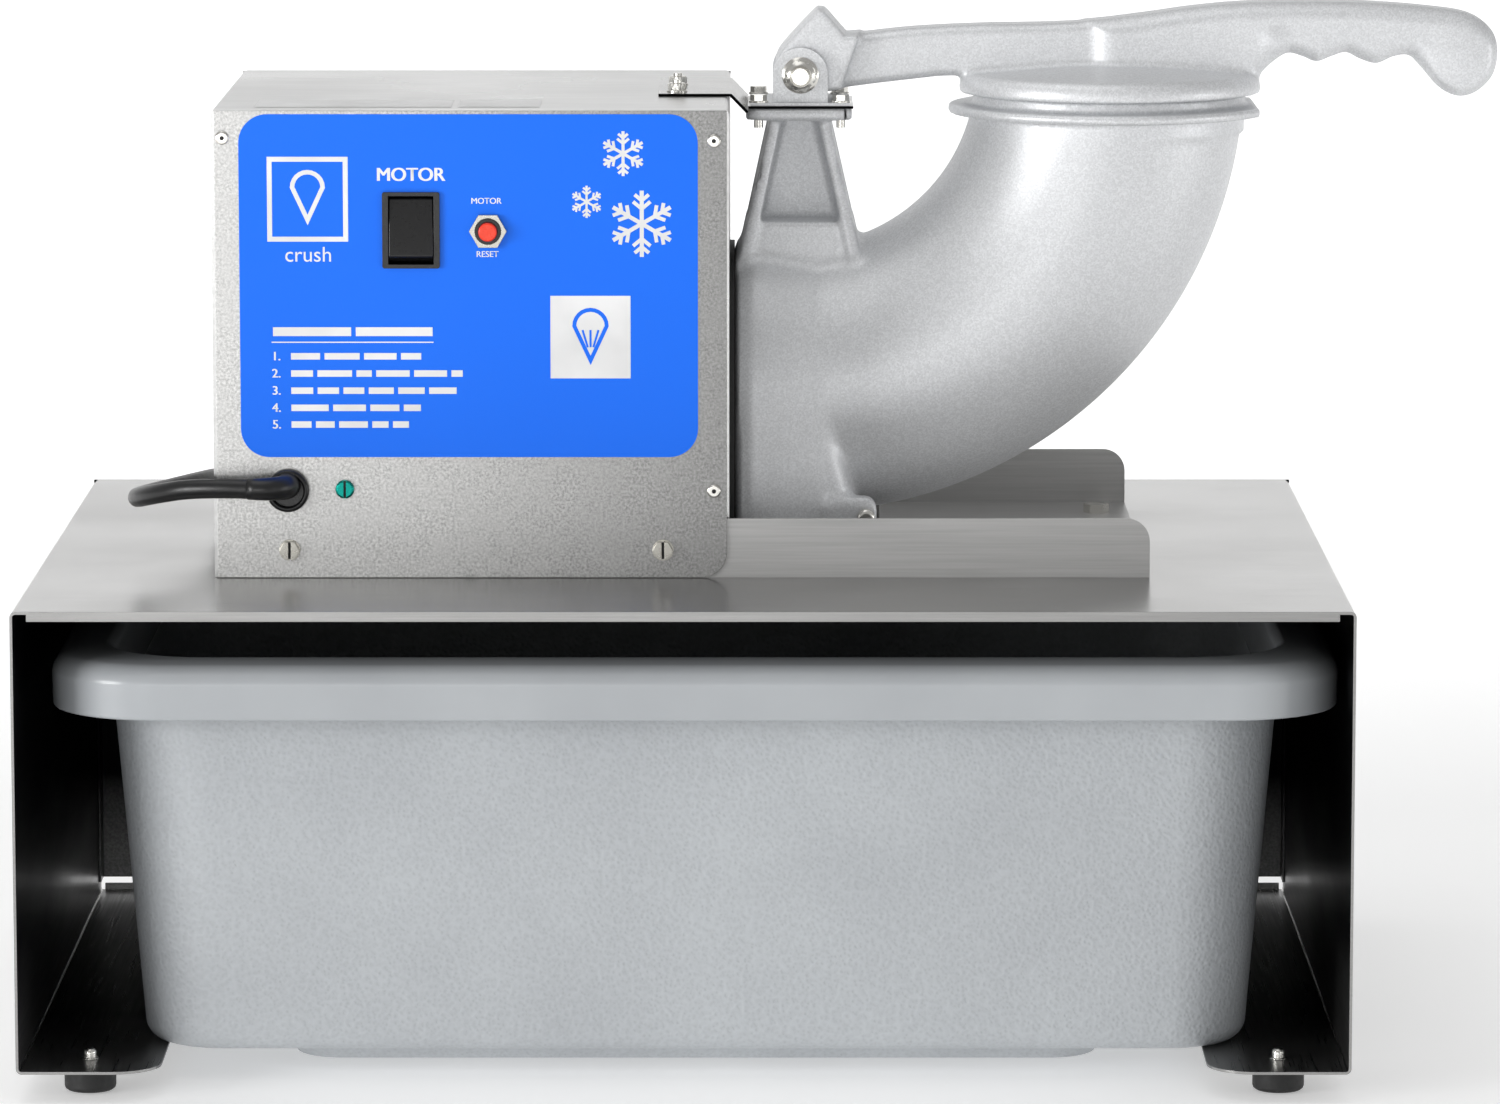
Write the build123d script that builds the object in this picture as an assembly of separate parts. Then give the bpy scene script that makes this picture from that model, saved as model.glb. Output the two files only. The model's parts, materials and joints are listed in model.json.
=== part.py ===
"""Shaved ice machine: sheet-metal cabinet with an ice tub, motor box, cast cutter head with a curved
hopper, and a hinged lever that closes the hopper and pushes the ice on to the cutter.

Frame: millimetres, +X to the machine's right, +Y to its back, +Z up. The origin is the centre of the
four feet, at table level. Each function makes one sub-part and write() saves it as parts/NODE.step.
"""

import math
import os

from build123d import *

# ---- driving dimensions -------------------------------------------------------------------------
SHEET = 1.2  # sheet steel thickness
FOOT_X, FOOT_Y, FOOT_R, FOOT_H = 252.0, 178.0, 11.0, 12.0

# cabinet
CAB_X, CAB_Y, CAB_TOP = 281.0, 205.5, 209.0  # half width, half depth, top face
FLANGE_W = 60.0  # in-turned bottom flanges that carry the tub
LIP_H = 4.2  # down-turned front lip of the top
BACK_LIP_H, BACK_GAP = 4.4, 2.7  # up-turned back lip of the bottom flanges, and the gap above it

# plane of the motor, cutter and hinge
AXIS_Y, AXIS_Z = 6.0, 281.2
PIVOT_X, PIVOT_Z = 49.8, 417.6
ELBOW_R = PIVOT_Z - AXIS_Z  # the hopper bend is concentric with the hinge
MOUTH_X = PIVOT_X + ELBOW_R
TUBE_R, BORE_R = 59.2, 54.2

# machine tray on the cabinet
FLOOR = CAB_TOP + SHEET
TRAY_X0, TRAY_X1, TRAY_Y0, TRAY_Y1, TRAY_H = -199.5, 199.5, -108.2, 121.0, 25.6

# motor box
BOX_X0, BOX_X1, BOX_Y0, BOX_Y1, BOX_TOP = -202.0, 18.9, -109.4, 100.0, 410.4
PANEL_BACK = BOX_Y0 + SHEET
BOX_FLANGE = 12.0

# ice drop opening through the tray and the cabinet top
DROP_X0, DROP_X1, DROP_HALF_Y = 28.0, 45.0, 46.0

# front panel fittings: (x, z)
LABEL_X0, LABEL_X1, LABEL_Z0, LABEL_Z1, LABEL_T = -190.1, 5.6, 261.4, 408.6, 0.4
SWITCH_X0, SWITCH_X1, SWITCH_Z0, SWITCH_Z1 = -129.0, -104.5, 342.8, 375.4
RESET = (-83.9, 358.7)
NECK_R, BUTTON_R, BUTTON_PLAY = 5.5, 4.0, 0.25
RIVETS = [(-197.0, 398.5), (12.5, 397.2), (12.4, 246.7)]
PANEL_SCREWS = [(-169.6, 221.2), (-9.5, 221.2)]
GROUND_SCREW = (-145.8, 247.6)
CORD_HOLE = (-170.2, 247.2)

# cutter head
HEAD_X0, HEAD_X1, HEAD_R, HEAD_WALL = 21.0, 62.0, 63.0, 5.0
PLATFORM_X0, PLATFORM_X1, PLATFORM_Y, PLATFORM_Z0, PLATFORM_Z1 = 26.0, 72.5, 27.0, 397.8, 403.2
MOUTH_FLANGE_R, MOUTH_FLANGE_Z0, MOUTH_FLANGE_Z1, MOUTH_TOP = 71.0, 399.5, 403.5, 408.5
HEAD_BOLT_R, HEAD_BOLT_PCD = 3.0, 84.0
LUG_SCREW = (78.4, 227.5)

# hinge
STRAP_T, EAR_R, EAR_T, EAR_IN = 1.2, 12.0, 4.0, 19.0
HINGE_BOLT_R, HINGE_BUSH_R, KNUCKLE_R, KNUCKLE_HALF = 3.95, 6.0, 10.3, 18.5
STRAP_TOP = PLATFORM_Z1 + STRAP_T
BRACKET_T = 1.2
BRACKET_SCREW_X, BRACKET_SCREW_Y = (31.5, 67.5), 22.0
STRAP_Y0, STRAP_Y1 = -42.0, 43.0
STRAP_BOLTS, STRAP_BOLT_R = [(-4.0, -31.0), (-4.0, 5.0)], 2.0

# lever and pusher
LID_R, LID_Z0, LID_Z1, LID_PLUG_R, LID_PLUG_Z0 = 64.4, 408.8, 420.0, 53.0, 404.3
ARM_HALF, PUSHER_R, PUSHER_T, PAD_SCREW_Y = 11.0, 50.0, 5.0, 13.0
PUSHER_ANGLE = 11.0  # degrees along the bend from the cutter axis, lever closed

# motor
MOTOR_R, MOTOR_BORE, STATOR_BORE = 63.0, 60.5, 36.0
SHELL_X0, SHELL_X1 = -150.0, -10.0
SHAFT_R, SEAT_GAP = 8.0, 0.05
BEARING_R, BEARING_W = 20.0, 12.0

# cutter
DISC_R, DISC_X0, DISC_X1, HUB_R, HUB_X0 = 53.6, 46.0, 54.0, 16.0, 36.0
BLADE_L, BLADE_T, BLADE_MID, BLADE_HOLE = 38.0, 3.0, 33.0, 11.0
NUT_X1 = 61.0

# tub
TUB_X, TUB_Y = 4.5, -1.0
TUB_BOTTOM, TUB_TOP, TUB_WALL, RIM_Z0, RIM_T = FOOT_H + SHEET, 186.0, 3.0, 161.6, 3.0
TUB_LOW, TUB_HIGH = (471.0, 328.0), (500.0, 358.0)  # outer body at the bottom and at the rim
RIM_SIZE, RIM_CORNER = (545.0, 396.0), 48.0
BASE_SIZE, BASE_Z0 = (362.0, 280.0), 5.0

# supply cord
CORD_R = 4.25
BOOT_R, BOOT_TURN_R, BOOT_TURN = 5.6, 10.8, 102.0  # degrees from straight out of the panel
COIL_X, COIL_Y, COIL_R = -139.0, 306.0, 51.0
CORD_EXIT = (-186.18, -124.34, 249.6)
CORD_ROUTE = [
    CORD_EXIT,
    (-208.8, -119.5, 249.6),
    (-228.4, -104.4, 244.6),
    (-238.4, -80.6, 239.6),
    (-236.9, -53.7, 237.3),
    (-225.3, -26.0, 237.0),
    (-214.8, 4.2, 236.0),
    (-210.0, 38.0, 233.0),
    (-210.0, 74.0, 225.5),
    (-211.0, 110.0, 219.0),
    (-211.0, 145.0, 218.0),
    (-209.0, 176.5, 224.5),
    (-206.5, 206.5, 225.0),
    (-204.5, 231.0, 208.0),
    (-203.0, 243.5, 180.0),
    (-201.5, 247.5, 148.0),
    (-200.0, 247.5, 114.0),
    (-198.0, 248.5, 83.0),
    (-196.5, 252.5, 54.0),
    (-195.3, 263.0, 29.0),
    (-194.6, 282.0, 11.0),
    (COIL_X - COIL_R - CORD_R, COIL_Y + 1.0, CORD_R),
]


# ---- helpers ------------------------------------------------------------------------------------
def block(x0, x1, y0, y1, z0, z1):
    """A box between two corners."""
    centre = Pos((x0 + x1) / 2, (y0 + y1) / 2, (z0 + z1) / 2)
    return centre * Box(x1 - x0, y1 - y0, z1 - z0)


def rod_x(x0, x1, y, z, radius):
    """A cylinder along X."""
    return Pos((x0 + x1) / 2, y, z) * Rot(0, 90, 0) * Cylinder(radius, x1 - x0)


def rod_y(y0, y1, x, z, radius):
    """A cylinder along Y."""
    return Pos(x, (y0 + y1) / 2, z) * Rot(90, 0, 0) * Cylinder(radius, y1 - y0)


def rod_z(z0, z1, x, y, radius):
    """A cylinder along Z."""
    return Pos(x, y, (z0 + z1) / 2) * Cylinder(radius, z1 - z0)


def ring_x(x0, x1, y, z, outer, inner):
    """A ring about an axis along X."""
    return rod_x(x0, x1, y, z, outer) - rod_x(x0 - 1, x1 + 1, y, z, inner)


def slab_xz(outline, y0, y1):
    """An outline drawn in X and Z, made solid from y0 to y1."""
    return Pos(0, y1, 0) * extrude(Plane.XZ * outline, y1 - y0)


def slab_yz(outline, x0, x1):
    """An outline drawn in Y and Z, made solid from x0 to x1."""
    return Pos(x0, 0, 0) * extrude(Plane.YZ * outline, x1 - x0)


def slab_xy(outline, z0, z1):
    """An outline drawn in X and Y, made solid from z0 to z1."""
    return Pos(0, 0, z0) * extrude(outline, z1 - z0)


def rounded(x0, x1, z0, z1, radius):
    """A rounded rectangle outline between two corners."""
    return Pos((x0 + x1) / 2, (z0 + z1) / 2) * RectangleRounded(x1 - x0, z1 - z0, radius)


def hexagon(across_flats):
    """A hexagon outline by its size across the flats."""
    return RegularPolygon(across_flats / 2, 6, major_radius=False)


def polygon(points):
    """A closed outline of straight edges."""
    return make_face(Polyline(*points, close=True))


def write(name, shape):
    """Saves one sub-part, named after its node, as separate solids."""
    solids = shape.solids()
    part = solids[0] if len(solids) == 1 else Compound(children=solids)
    part.label = name
    export_step(part, f"parts/{name}.step")


def corners(dx, dy):
    """The four corners of a rectangle centred on the origin."""
    return [(sx * dx, sy * dy) for sx in (-1, 1) for sy in (-1, 1)]


def rotor_axis():
    """The motor's axis."""
    return Axis((0, AXIS_Y, AXIS_Z), (1, 0, 0))


def joined(shapes):
    """Several separate solids as one shape."""
    return Compound(children=[solid for shape in shapes for solid in shape.solids()])


# ---- cabinet ------------------------------------------------------------------------------------
def drop_opening():
    """The opening that lets the shavings fall, through the tray and the cabinet top."""
    return block(DROP_X0, DROP_X1, AXIS_Y - DROP_HALF_Y, AXIS_Y + DROP_HALF_Y, CAB_TOP - 3, FLOOR + 1)


def tray_bolt_places():
    """Bolts that hold the machine tray on the cabinet."""
    return [(x, AXIS_Y + y) for x, y in corners(185.0, 80.0)]


def cabinet_shell():
    """One folded sheet: top, two sides and the bottom flanges, open at the front."""
    bend, back = 2.5, CAB_Y - SHEET
    outer = block(-CAB_X, CAB_X, -CAB_Y, back, FOOT_H, CAB_TOP)
    outer = fillet(outer.edges().filter_by(Axis.Y), bend)
    inner = block(-CAB_X + SHEET, CAB_X - SHEET, -CAB_Y - 1, back + 1, FOOT_H + SHEET, CAB_TOP - SHEET)
    inner = fillet(inner.edges().filter_by(Axis.Y), bend - SHEET)
    gap = CAB_X - FLANGE_W
    slot = block(-gap, gap, -CAB_Y - 30, back + 1, FOOT_H - 1, FOOT_H + SHEET + 1)
    shell = outer - inner - slot
    inner_corners = shell.edges().filter_by(Axis.Z).filter_by_position(Axis.X, -gap - 1, gap + 1)
    shell = fillet(inner_corners.filter_by_position(Axis.Y, -CAB_Y - 1, -CAB_Y + 1), 20)
    lip_x = CAB_X - 7
    shell += block(-lip_x, lip_x, -CAB_Y, -CAB_Y + SHEET, CAB_TOP - LIP_H, CAB_TOP - SHEET)
    for sign in (-1, 1):
        x0, x1 = sorted((sign * gap, sign * (CAB_X - 3)))
        shell += block(x0, x1, back - SHEET, back, FOOT_H + SHEET, FOOT_H + BACK_LIP_H)
    shell -= drop_opening()
    for x, y in corners(FOOT_X, FOOT_Y):
        shell -= rod_z(FOOT_H - 1, FOOT_H + SHEET + 1, x, y, 2.1)
    for x, y in tray_bolt_places():
        shell -= rod_z(CAB_TOP - 3, CAB_TOP + 1, x, y, 3.1)
    return shell


def cabinet_back_panel():
    """The back sheet with forward flanges inside the shell, ending above the bottom flanges."""
    back, bottom, depth = CAB_Y - SHEET, FOOT_H + BACK_LIP_H + BACK_GAP, 14.0
    panel = block(-CAB_X, CAB_X, back, CAB_Y, bottom, CAB_TOP)
    side = CAB_X - SHEET
    for sign in (-1, 1):
        x0, x1 = sorted((sign * side, sign * (side - SHEET)))
        panel += block(x0, x1, back - depth, back, bottom, CAB_TOP - 4)
    panel += block(-side + 4, side - 4, back - depth, back, CAB_TOP - 2 * SHEET, CAB_TOP - SHEET)
    return panel


def rubber_feet():
    """Four moulded feet with a blind hole for the screw."""
    feet = []
    for x, y in corners(FOOT_X, FOOT_Y):
        feet.append(rod_z(0, FOOT_H, x, y, FOOT_R) - rod_z(7.5, FOOT_H + 1, x, y, 2.1))
    return joined(feet)


def foot_screws():
    """Domed screws that hold the feet to the bottom flanges."""
    screws = []
    top = FOOT_H + SHEET
    for x, y in corners(FOOT_X, FOOT_Y):
        head = rod_z(top, top + 4.6, x, y, 2.9)
        head = fillet(head.edges().group_by(Axis.Z)[-1], 2.2)
        screws.append(head + rod_z(top, top + 0.6, x, y, 3.8) + rod_z(8.0, top, x, y, 2.0))
    return joined(screws)


def machine_tray():
    """The channel that carries the motor box and the head."""
    tray = block(TRAY_X0, TRAY_X1, TRAY_Y0, TRAY_Y1, CAB_TOP, CAB_TOP + TRAY_H)
    tray -= block(TRAY_X0 - 1, TRAY_X1 + 1, TRAY_Y0 + SHEET, TRAY_Y1 - SHEET, FLOOR, CAB_TOP + 99)
    tops = tray.edges().filter_by(Axis.Y).filter_by_position(Axis.Z, CAB_TOP + 20, CAB_TOP + 30)
    tray = fillet(tops.filter_by_position(Axis.X, TRAY_X1 - 1, TRAY_X1 + 1), 10)
    tray -= drop_opening()
    for x, z in PANEL_SCREWS:
        tray -= rod_y(TRAY_Y0 - 1, TRAY_Y0 + 3, x, z, 2.2)
    for x, y in tray_bolt_places():
        tray -= rod_z(CAB_TOP - 1, FLOOR + 1, x, y, 3.1)
    return tray


def tray_bolts():
    """Bolts down through the tray and the cabinet top, each with its nut below."""
    bolts = []
    under = CAB_TOP - SHEET
    for x, y in tray_bolt_places():
        bolt = Pos(x, y, FLOOR) * extrude(hexagon(10), 4)
        bolt += rod_z(under - 7, FLOOR, x, y, 3.0)
        bolt += Pos(x, y, under - 5) * extrude(hexagon(10), 5)
        bolts.append(bolt)
    return joined(bolts)


# ---- motor box ----------------------------------------------------------------------------------
def motor_case_wrap():
    """Top and two sides of the motor box in one folded sheet, with riveting flanges all round."""
    front, back = PANEL_BACK, BOX_Y1 - SHEET
    outer = block(BOX_X0, BOX_X1, front, back, CAB_TOP - 5, BOX_TOP)
    outer = fillet(outer.edges().filter_by(Axis.Y).group_by(Axis.Z)[-1], 2.2)
    inner = block(BOX_X0 + SHEET, BOX_X1 - SHEET, front - 1, back + 1, CAB_TOP - 9, BOX_TOP - SHEET)
    wrap = outer - inner
    for y0 in (front, back - SHEET):
        frame = block(BOX_X0 + 0.5, BOX_X1 - 0.5, y0, y0 + SHEET, CAB_TOP + 3, BOX_TOP - 0.5)
        x0, x1 = BOX_X0 + BOX_FLANGE, BOX_X1 - BOX_FLANGE
        frame -= block(x0, x1, y0 - 1, y0 + 3, CAB_TOP, BOX_TOP - BOX_FLANGE)
        wrap += frame
    wrap -= block(BOX_X0 - 1, TRAY_X0 + 99, front - 1, back + 1, CAB_TOP - 9, CAB_TOP + 0.1)
    wrap -= block(TRAY_X0 - 0.1, BOX_X1 + 1, front - 1, back + 1, CAB_TOP - 9, FLOOR + 0.2)
    notch_top = CAB_TOP + TRAY_H + 2.4
    wrap -= block(BOX_X1 - BOX_FLANGE - 1, BOX_X1 + 1, front - 1, front + 3, CAB_TOP - 9, notch_top)
    wrap -= block(TRAY_X0 - 0.3, BOX_X0 + BOX_FLANGE + 1, front - 1, front + 3, CAB_TOP - 9, notch_top)
    wrap -= rod_x(BOX_X1 - 3, BOX_X1 + 3, AXIS_Y, AXIS_Z, 22.0)
    for y, z in head_bolt_places():
        wrap -= rod_x(BOX_X1 - 3, BOX_X1 + 3, y, z, HEAD_BOLT_R + 0.1)
    for x, z in RIVETS:
        wrap -= rod_y(front - 1, front + 3, x, z, 1.6)
    for x, z in rear_screw_places():
        wrap -= rod_y(back - 3, back + 1, x, z, 2.0)
    for x, y in STRAP_BOLTS:
        wrap -= rod_z(BOX_TOP - 3, BOX_TOP + 1, x, y, STRAP_BOLT_R + 0.1)
    return wrap


def front_panel():
    """The flat control panel sheet with its cut-outs."""
    x0, x1, z0, z1 = BOX_X0 + 1.4, BOX_X1 - 1.0, CAB_TOP + 0.2, BOX_TOP - 0.4
    panel = block(x0, x1, BOX_Y0, PANEL_BACK, z0, z1)
    corner = panel.edges().filter_by(Axis.Y).group_by(Axis.Z)[0].sort_by(Axis.X)[-1]
    panel = fillet(corner, 10.7)
    panel -= switch_cutout(BOX_Y0 - 1, PANEL_BACK + 1)
    panel -= rod_y(BOX_Y0 - 1, PANEL_BACK + 1, *RESET, NECK_R + 0.1)
    panel -= rod_y(BOX_Y0 - 1, PANEL_BACK + 1, *CORD_HOLE, 7.6)
    panel -= rod_y(BOX_Y0 - 1, PANEL_BACK + 1, *GROUND_SCREW, 2.2)
    for x, z in PANEL_SCREWS:
        panel -= rod_y(BOX_Y0 - 1, PANEL_BACK + 1, x, z, 2.2)
    for x, z in RIVETS:
        panel -= rod_y(BOX_Y0 - 1, PANEL_BACK + 1, x, z, 1.6)
    return panel


def switch_cutout(y0, y1):
    """The rectangular hole for the switch body."""
    return block(SWITCH_X0 + 1.4, SWITCH_X1 - 1.4, y0, y1, SWITCH_Z0 + 1.1, SWITCH_Z1 - 1.1)


def rear_screw_places():
    """Screws round the edge of the rear panel: (x, z)."""
    edge_x0, edge_x1 = BOX_X0 + 7, BOX_X1 - 7
    sides = [(x, z) for x in (edge_x0, edge_x1) for z in (250.0, 340.0)]
    return sides + [(x, BOX_TOP - 7) for x in (-150.0, -92.0, -34.0)]


def rear_panel():
    """The removable back of the motor box, with cooling slots and a foot on the tray floor."""
    y0, y1 = BOX_Y1 - SHEET, BOX_Y1
    panel = block(BOX_X0, BOX_X1, y0, y1, FLOOR, BOX_TOP - 0.4)
    panel -= block(BOX_X0 - 1, TRAY_X0 + 1, y0 - 1, y1 + 1, FLOOR - 1, FLOOR + 0.5)
    panel += block(-190, 10, y0, TRAY_Y1 - SHEET - 3, FLOOR, FLOOR + SHEET)
    for row in range(6):
        for x in (-140.0, -44.0):
            z = 290.0 + 14.0 * row
            panel -= Pos(x, (y0 + y1) / 2, z) * Rot(90, 0, 0) * extrude(SlotOverall(70, 5), 3, both=True)
    for x, z in rear_screw_places():
        panel -= rod_y(y0 - 1, y1 + 1, x, z, 2.0)
    return panel


def rear_panel_screws():
    """Pan-head screws of the rear panel."""
    screws = []
    for x, z in rear_screw_places():
        head = rod_y(BOX_Y1, BOX_Y1 + 2.2, x, z, 4.0)
        head = fillet(head.edges().group_by(Axis.Y)[-1], 1.4)
        screws.append(head + rod_y(BOX_Y1 - 9, BOX_Y1, x, z, 1.9))
    return joined(screws)


def control_label():
    """The printed plastic label on the front panel."""
    label = slab_xz(rounded(LABEL_X0, LABEL_X1, LABEL_Z0, LABEL_Z1, 12.3), BOX_Y0 - LABEL_T, BOX_Y0)
    label -= switch_cutout(BOX_Y0 - 2, BOX_Y0 + 1)
    return label - rod_y(BOX_Y0 - 2, BOX_Y0 + 1, *RESET, NECK_R + 0.1)


def panel_rivets():
    """Blind rivets that join the panel to the wrap."""
    rivets = []
    for x, z in RIVETS:
        head = rod_y(BOX_Y0 - 1.3, BOX_Y0, x, z, 3.0)
        head = fillet(head.edges().group_by(Axis.Y)[0], 0.9)
        tail = rod_y(PANEL_BACK + SHEET, PANEL_BACK + SHEET + 2.5, x, z, 2.4)
        rivets.append(head + rod_y(BOX_Y0, PANEL_BACK + SHEET, x, z, 1.6) + tail)
    return joined(rivets)


def washer_screw(x, z, face, washer_r, flats, shank_r, length):
    """A slotted screw with a hexagon head and a washer under it, driven towards +Y."""
    screw = rod_y(face - 0.9, face, x, z, washer_r)
    head = Pos(x, face - 0.9, z) * Rot(90, 0, 0) * extrude(hexagon(flats), 2.8)
    head -= block(x - 0.6, x + 0.6, face - 5, face - 2.4, z - 9, z + 9)
    return screw + head + rod_y(face, face + length, x, z, shank_r)


def panel_screws():
    """Two screws through the panel into the tray's front flange."""
    return joined([washer_screw(x, z, BOX_Y0, 4.6, 7.5, 2.1, 9) for x, z in PANEL_SCREWS])


def ground_screw():
    """The earth screw with its nut inside."""
    x, z = GROUND_SCREW
    screw = rod_y(BOX_Y0 - 2.4, BOX_Y0, x, z, 4.0)
    screw = fillet(screw.edges().group_by(Axis.Y)[0], 1.0)
    screw -= block(x - 0.6, x + 0.6, BOX_Y0 - 5, BOX_Y0 - 1.4, z - 9, z + 9)
    screw += rod_y(BOX_Y0, BOX_Y0 + 10, x, z, 2.1)
    return screw + Pos(x, PANEL_BACK + 3.2, z) * Rot(90, 0, 0) * extrude(hexagon(7), 3.2)


# ---- switch and reset button --------------------------------------------------------------------
SWITCH_X, SWITCH_Z = (SWITCH_X0 + SWITCH_X1) / 2, (SWITCH_Z0 + SWITCH_Z1) / 2
LABEL_FACE = BOX_Y0 - LABEL_T
BEZEL_FACE = LABEL_FACE - 1.6
ROCKER_Y, ROCKER_R, ROCKER_HALF = BEZEL_FACE + 7.4, 14.3, 9.4


def switch_housing():
    """Bezel and body of the switch, with the pocket that the rocker turns in."""
    bezel = slab_xz(rounded(SWITCH_X0, SWITCH_X1, SWITCH_Z0, SWITCH_Z1, 1.0), BEZEL_FACE, LABEL_FACE)
    body = block(SWITCH_X0 + 1.5, SWITCH_X1 - 1.5, LABEL_FACE, -84.0, SWITCH_Z0 + 1.2, SWITCH_Z1 - 1.2)
    housing = bezel + body
    half_x, half_z, floor = ROCKER_HALF + 0.3, ROCKER_R + 0.35, ROCKER_Y + 7.5
    housing -= block(SWITCH_X - half_x, SWITCH_X + half_x, BEZEL_FACE - 1, floor,
                     SWITCH_Z - half_z, SWITCH_Z + half_z)
    return housing - rod_x(SWITCH_X - half_x - 1.1, SWITCH_X + half_x + 1.1, ROCKER_Y, SWITCH_Z, 1.55)


def rocker():
    """The rocking key, its ends round about its own pins; the lower half stands proud at rest."""
    y0 = ROCKER_Y
    wedge = polygon([(y0 - 7.6, SWITCH_Z), (y0 - 4.9, SWITCH_Z + 15), (y0 + 3.2, SWITCH_Z + 15),
                     (y0 + 5.0, SWITCH_Z), (y0 + 3.2, SWITCH_Z - 15), (y0 - 10.0, SWITCH_Z - 15)])
    key = slab_yz(wedge, SWITCH_X - ROCKER_HALF, SWITCH_X + ROCKER_HALF)
    key &= rod_x(SWITCH_X - 20, SWITCH_X + 20, ROCKER_Y, SWITCH_Z, ROCKER_R)
    return key + rod_x(SWITCH_X - ROCKER_HALF - 1.2, SWITCH_X + ROCKER_HALF + 1.2, ROCKER_Y, SWITCH_Z, 1.5)


def reset_breaker():
    """Circuit breaker behind the panel with the threaded neck that the button runs in."""
    x, z = RESET
    body = block(x - 8, x + 8, PANEL_BACK, PANEL_BACK + 28, z - 16, z + 16)
    body += rod_y(LABEL_FACE - 3.6, PANEL_BACK, x, z, NECK_R)
    body -= rod_y(LABEL_FACE - 5, PANEL_BACK + 14, x, z, BUTTON_R + BUTTON_PLAY)
    for dz in (-10.0, 10.0):
        body += block(x - 3, x + 3, PANEL_BACK + 28, PANEL_BACK + 37, z + dz - 0.4, z + dz + 0.4)
    return body


def reset_nut():
    """The nut that clamps the breaker to the panel."""
    x, z = RESET
    nut = Pos(x, LABEL_FACE, z) * Rot(90, 0, 0) * extrude(hexagon(14.0), 2.4)
    return nut - rod_y(LABEL_FACE - 5, LABEL_FACE + 1, x, z, NECK_R + 0.05)


def reset_button():
    """The push button, standing out of the neck, with its collar inside."""
    x, z = RESET
    button = rod_y(LABEL_FACE - 6.4, PANEL_BACK + 8, x, z, BUTTON_R)
    return fillet(button.edges().group_by(Axis.Y)[0], 0.8)


# ---- cutter head --------------------------------------------------------------------------------
def head_bolt_places():
    """Four bolts that clamp the head, gasket and box wall to the motor: (y, z)."""
    d = HEAD_BOLT_PCD / 2 * math.cos(math.radians(45))
    return [(AXIS_Y + sy * d, AXIS_Z + sz * d) for sy in (-1, 1) for sz in (-1, 1)]


def head_outline(radius, bottom):
    """The head seen along X: half round on top, straight sides down to the tray."""
    return Pos(AXIS_Y, AXIS_Z) * Circle(radius) + rounded(
        AXIS_Y - radius, AXIS_Y + radius, bottom, AXIS_Z, 0.5)


def bend(radius, start, sweep):
    """A solid bend of round section about the hinge line, from start degrees along the hopper."""
    section = Pos(PIVOT_X, 0, 0) * (Plane.YZ * (Pos(AXIS_Y, AXIS_Z) * Circle(radius)))
    solid = revolve(section, hinge_axis(), sweep)
    return turned(solid, start)


def hinge_axis():
    """The hinge line; a positive turn lifts the lever."""
    return Axis((PIVOT_X, AXIS_Y, PIVOT_Z), (0, -1, 0))


def turned(shape, degrees):
    """A shape turned about the hinge line."""
    return shape.rotate(hinge_axis(), degrees)


def pedestal():
    """The tapered post under the hinge: centre web, two ribs, and the platform."""
    base_z, top_z = AXIS_Z + 48, PLATFORM_Z0
    side = polygon([(HEAD_X0, base_z), (77.0, base_z), (62.6, top_z), (36.4, top_z)])
    post = slab_xz(side, AXIS_Y - 4, AXIS_Y + 4)
    front = polygon([(AXIS_Y - 30, base_z), (AXIS_Y + 30, base_z), (AXIS_Y + 23, top_z), (AXIS_Y - 23, top_z)])
    wide = slab_yz(front, 15, 85)
    hollow = polygon([(26.5, base_z - 1), (71.0, base_z - 1), (57.6, top_z + 1), (41.4, top_z + 1)])
    ribs = slab_xz(side, AXIS_Y - 40, AXIS_Y + 40) - slab_xz(hollow, AXIS_Y - 41, AXIS_Y + 41)
    plate = Pos((PLATFORM_X0 + PLATFORM_X1) / 2, AXIS_Y, PLATFORM_Z0) * extrude(
        RectangleRounded(PLATFORM_X1 - PLATFORM_X0, 2 * PLATFORM_Y, 6), PLATFORM_Z1 - PLATFORM_Z0)
    return post + (ribs & wide) + plate


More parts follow.
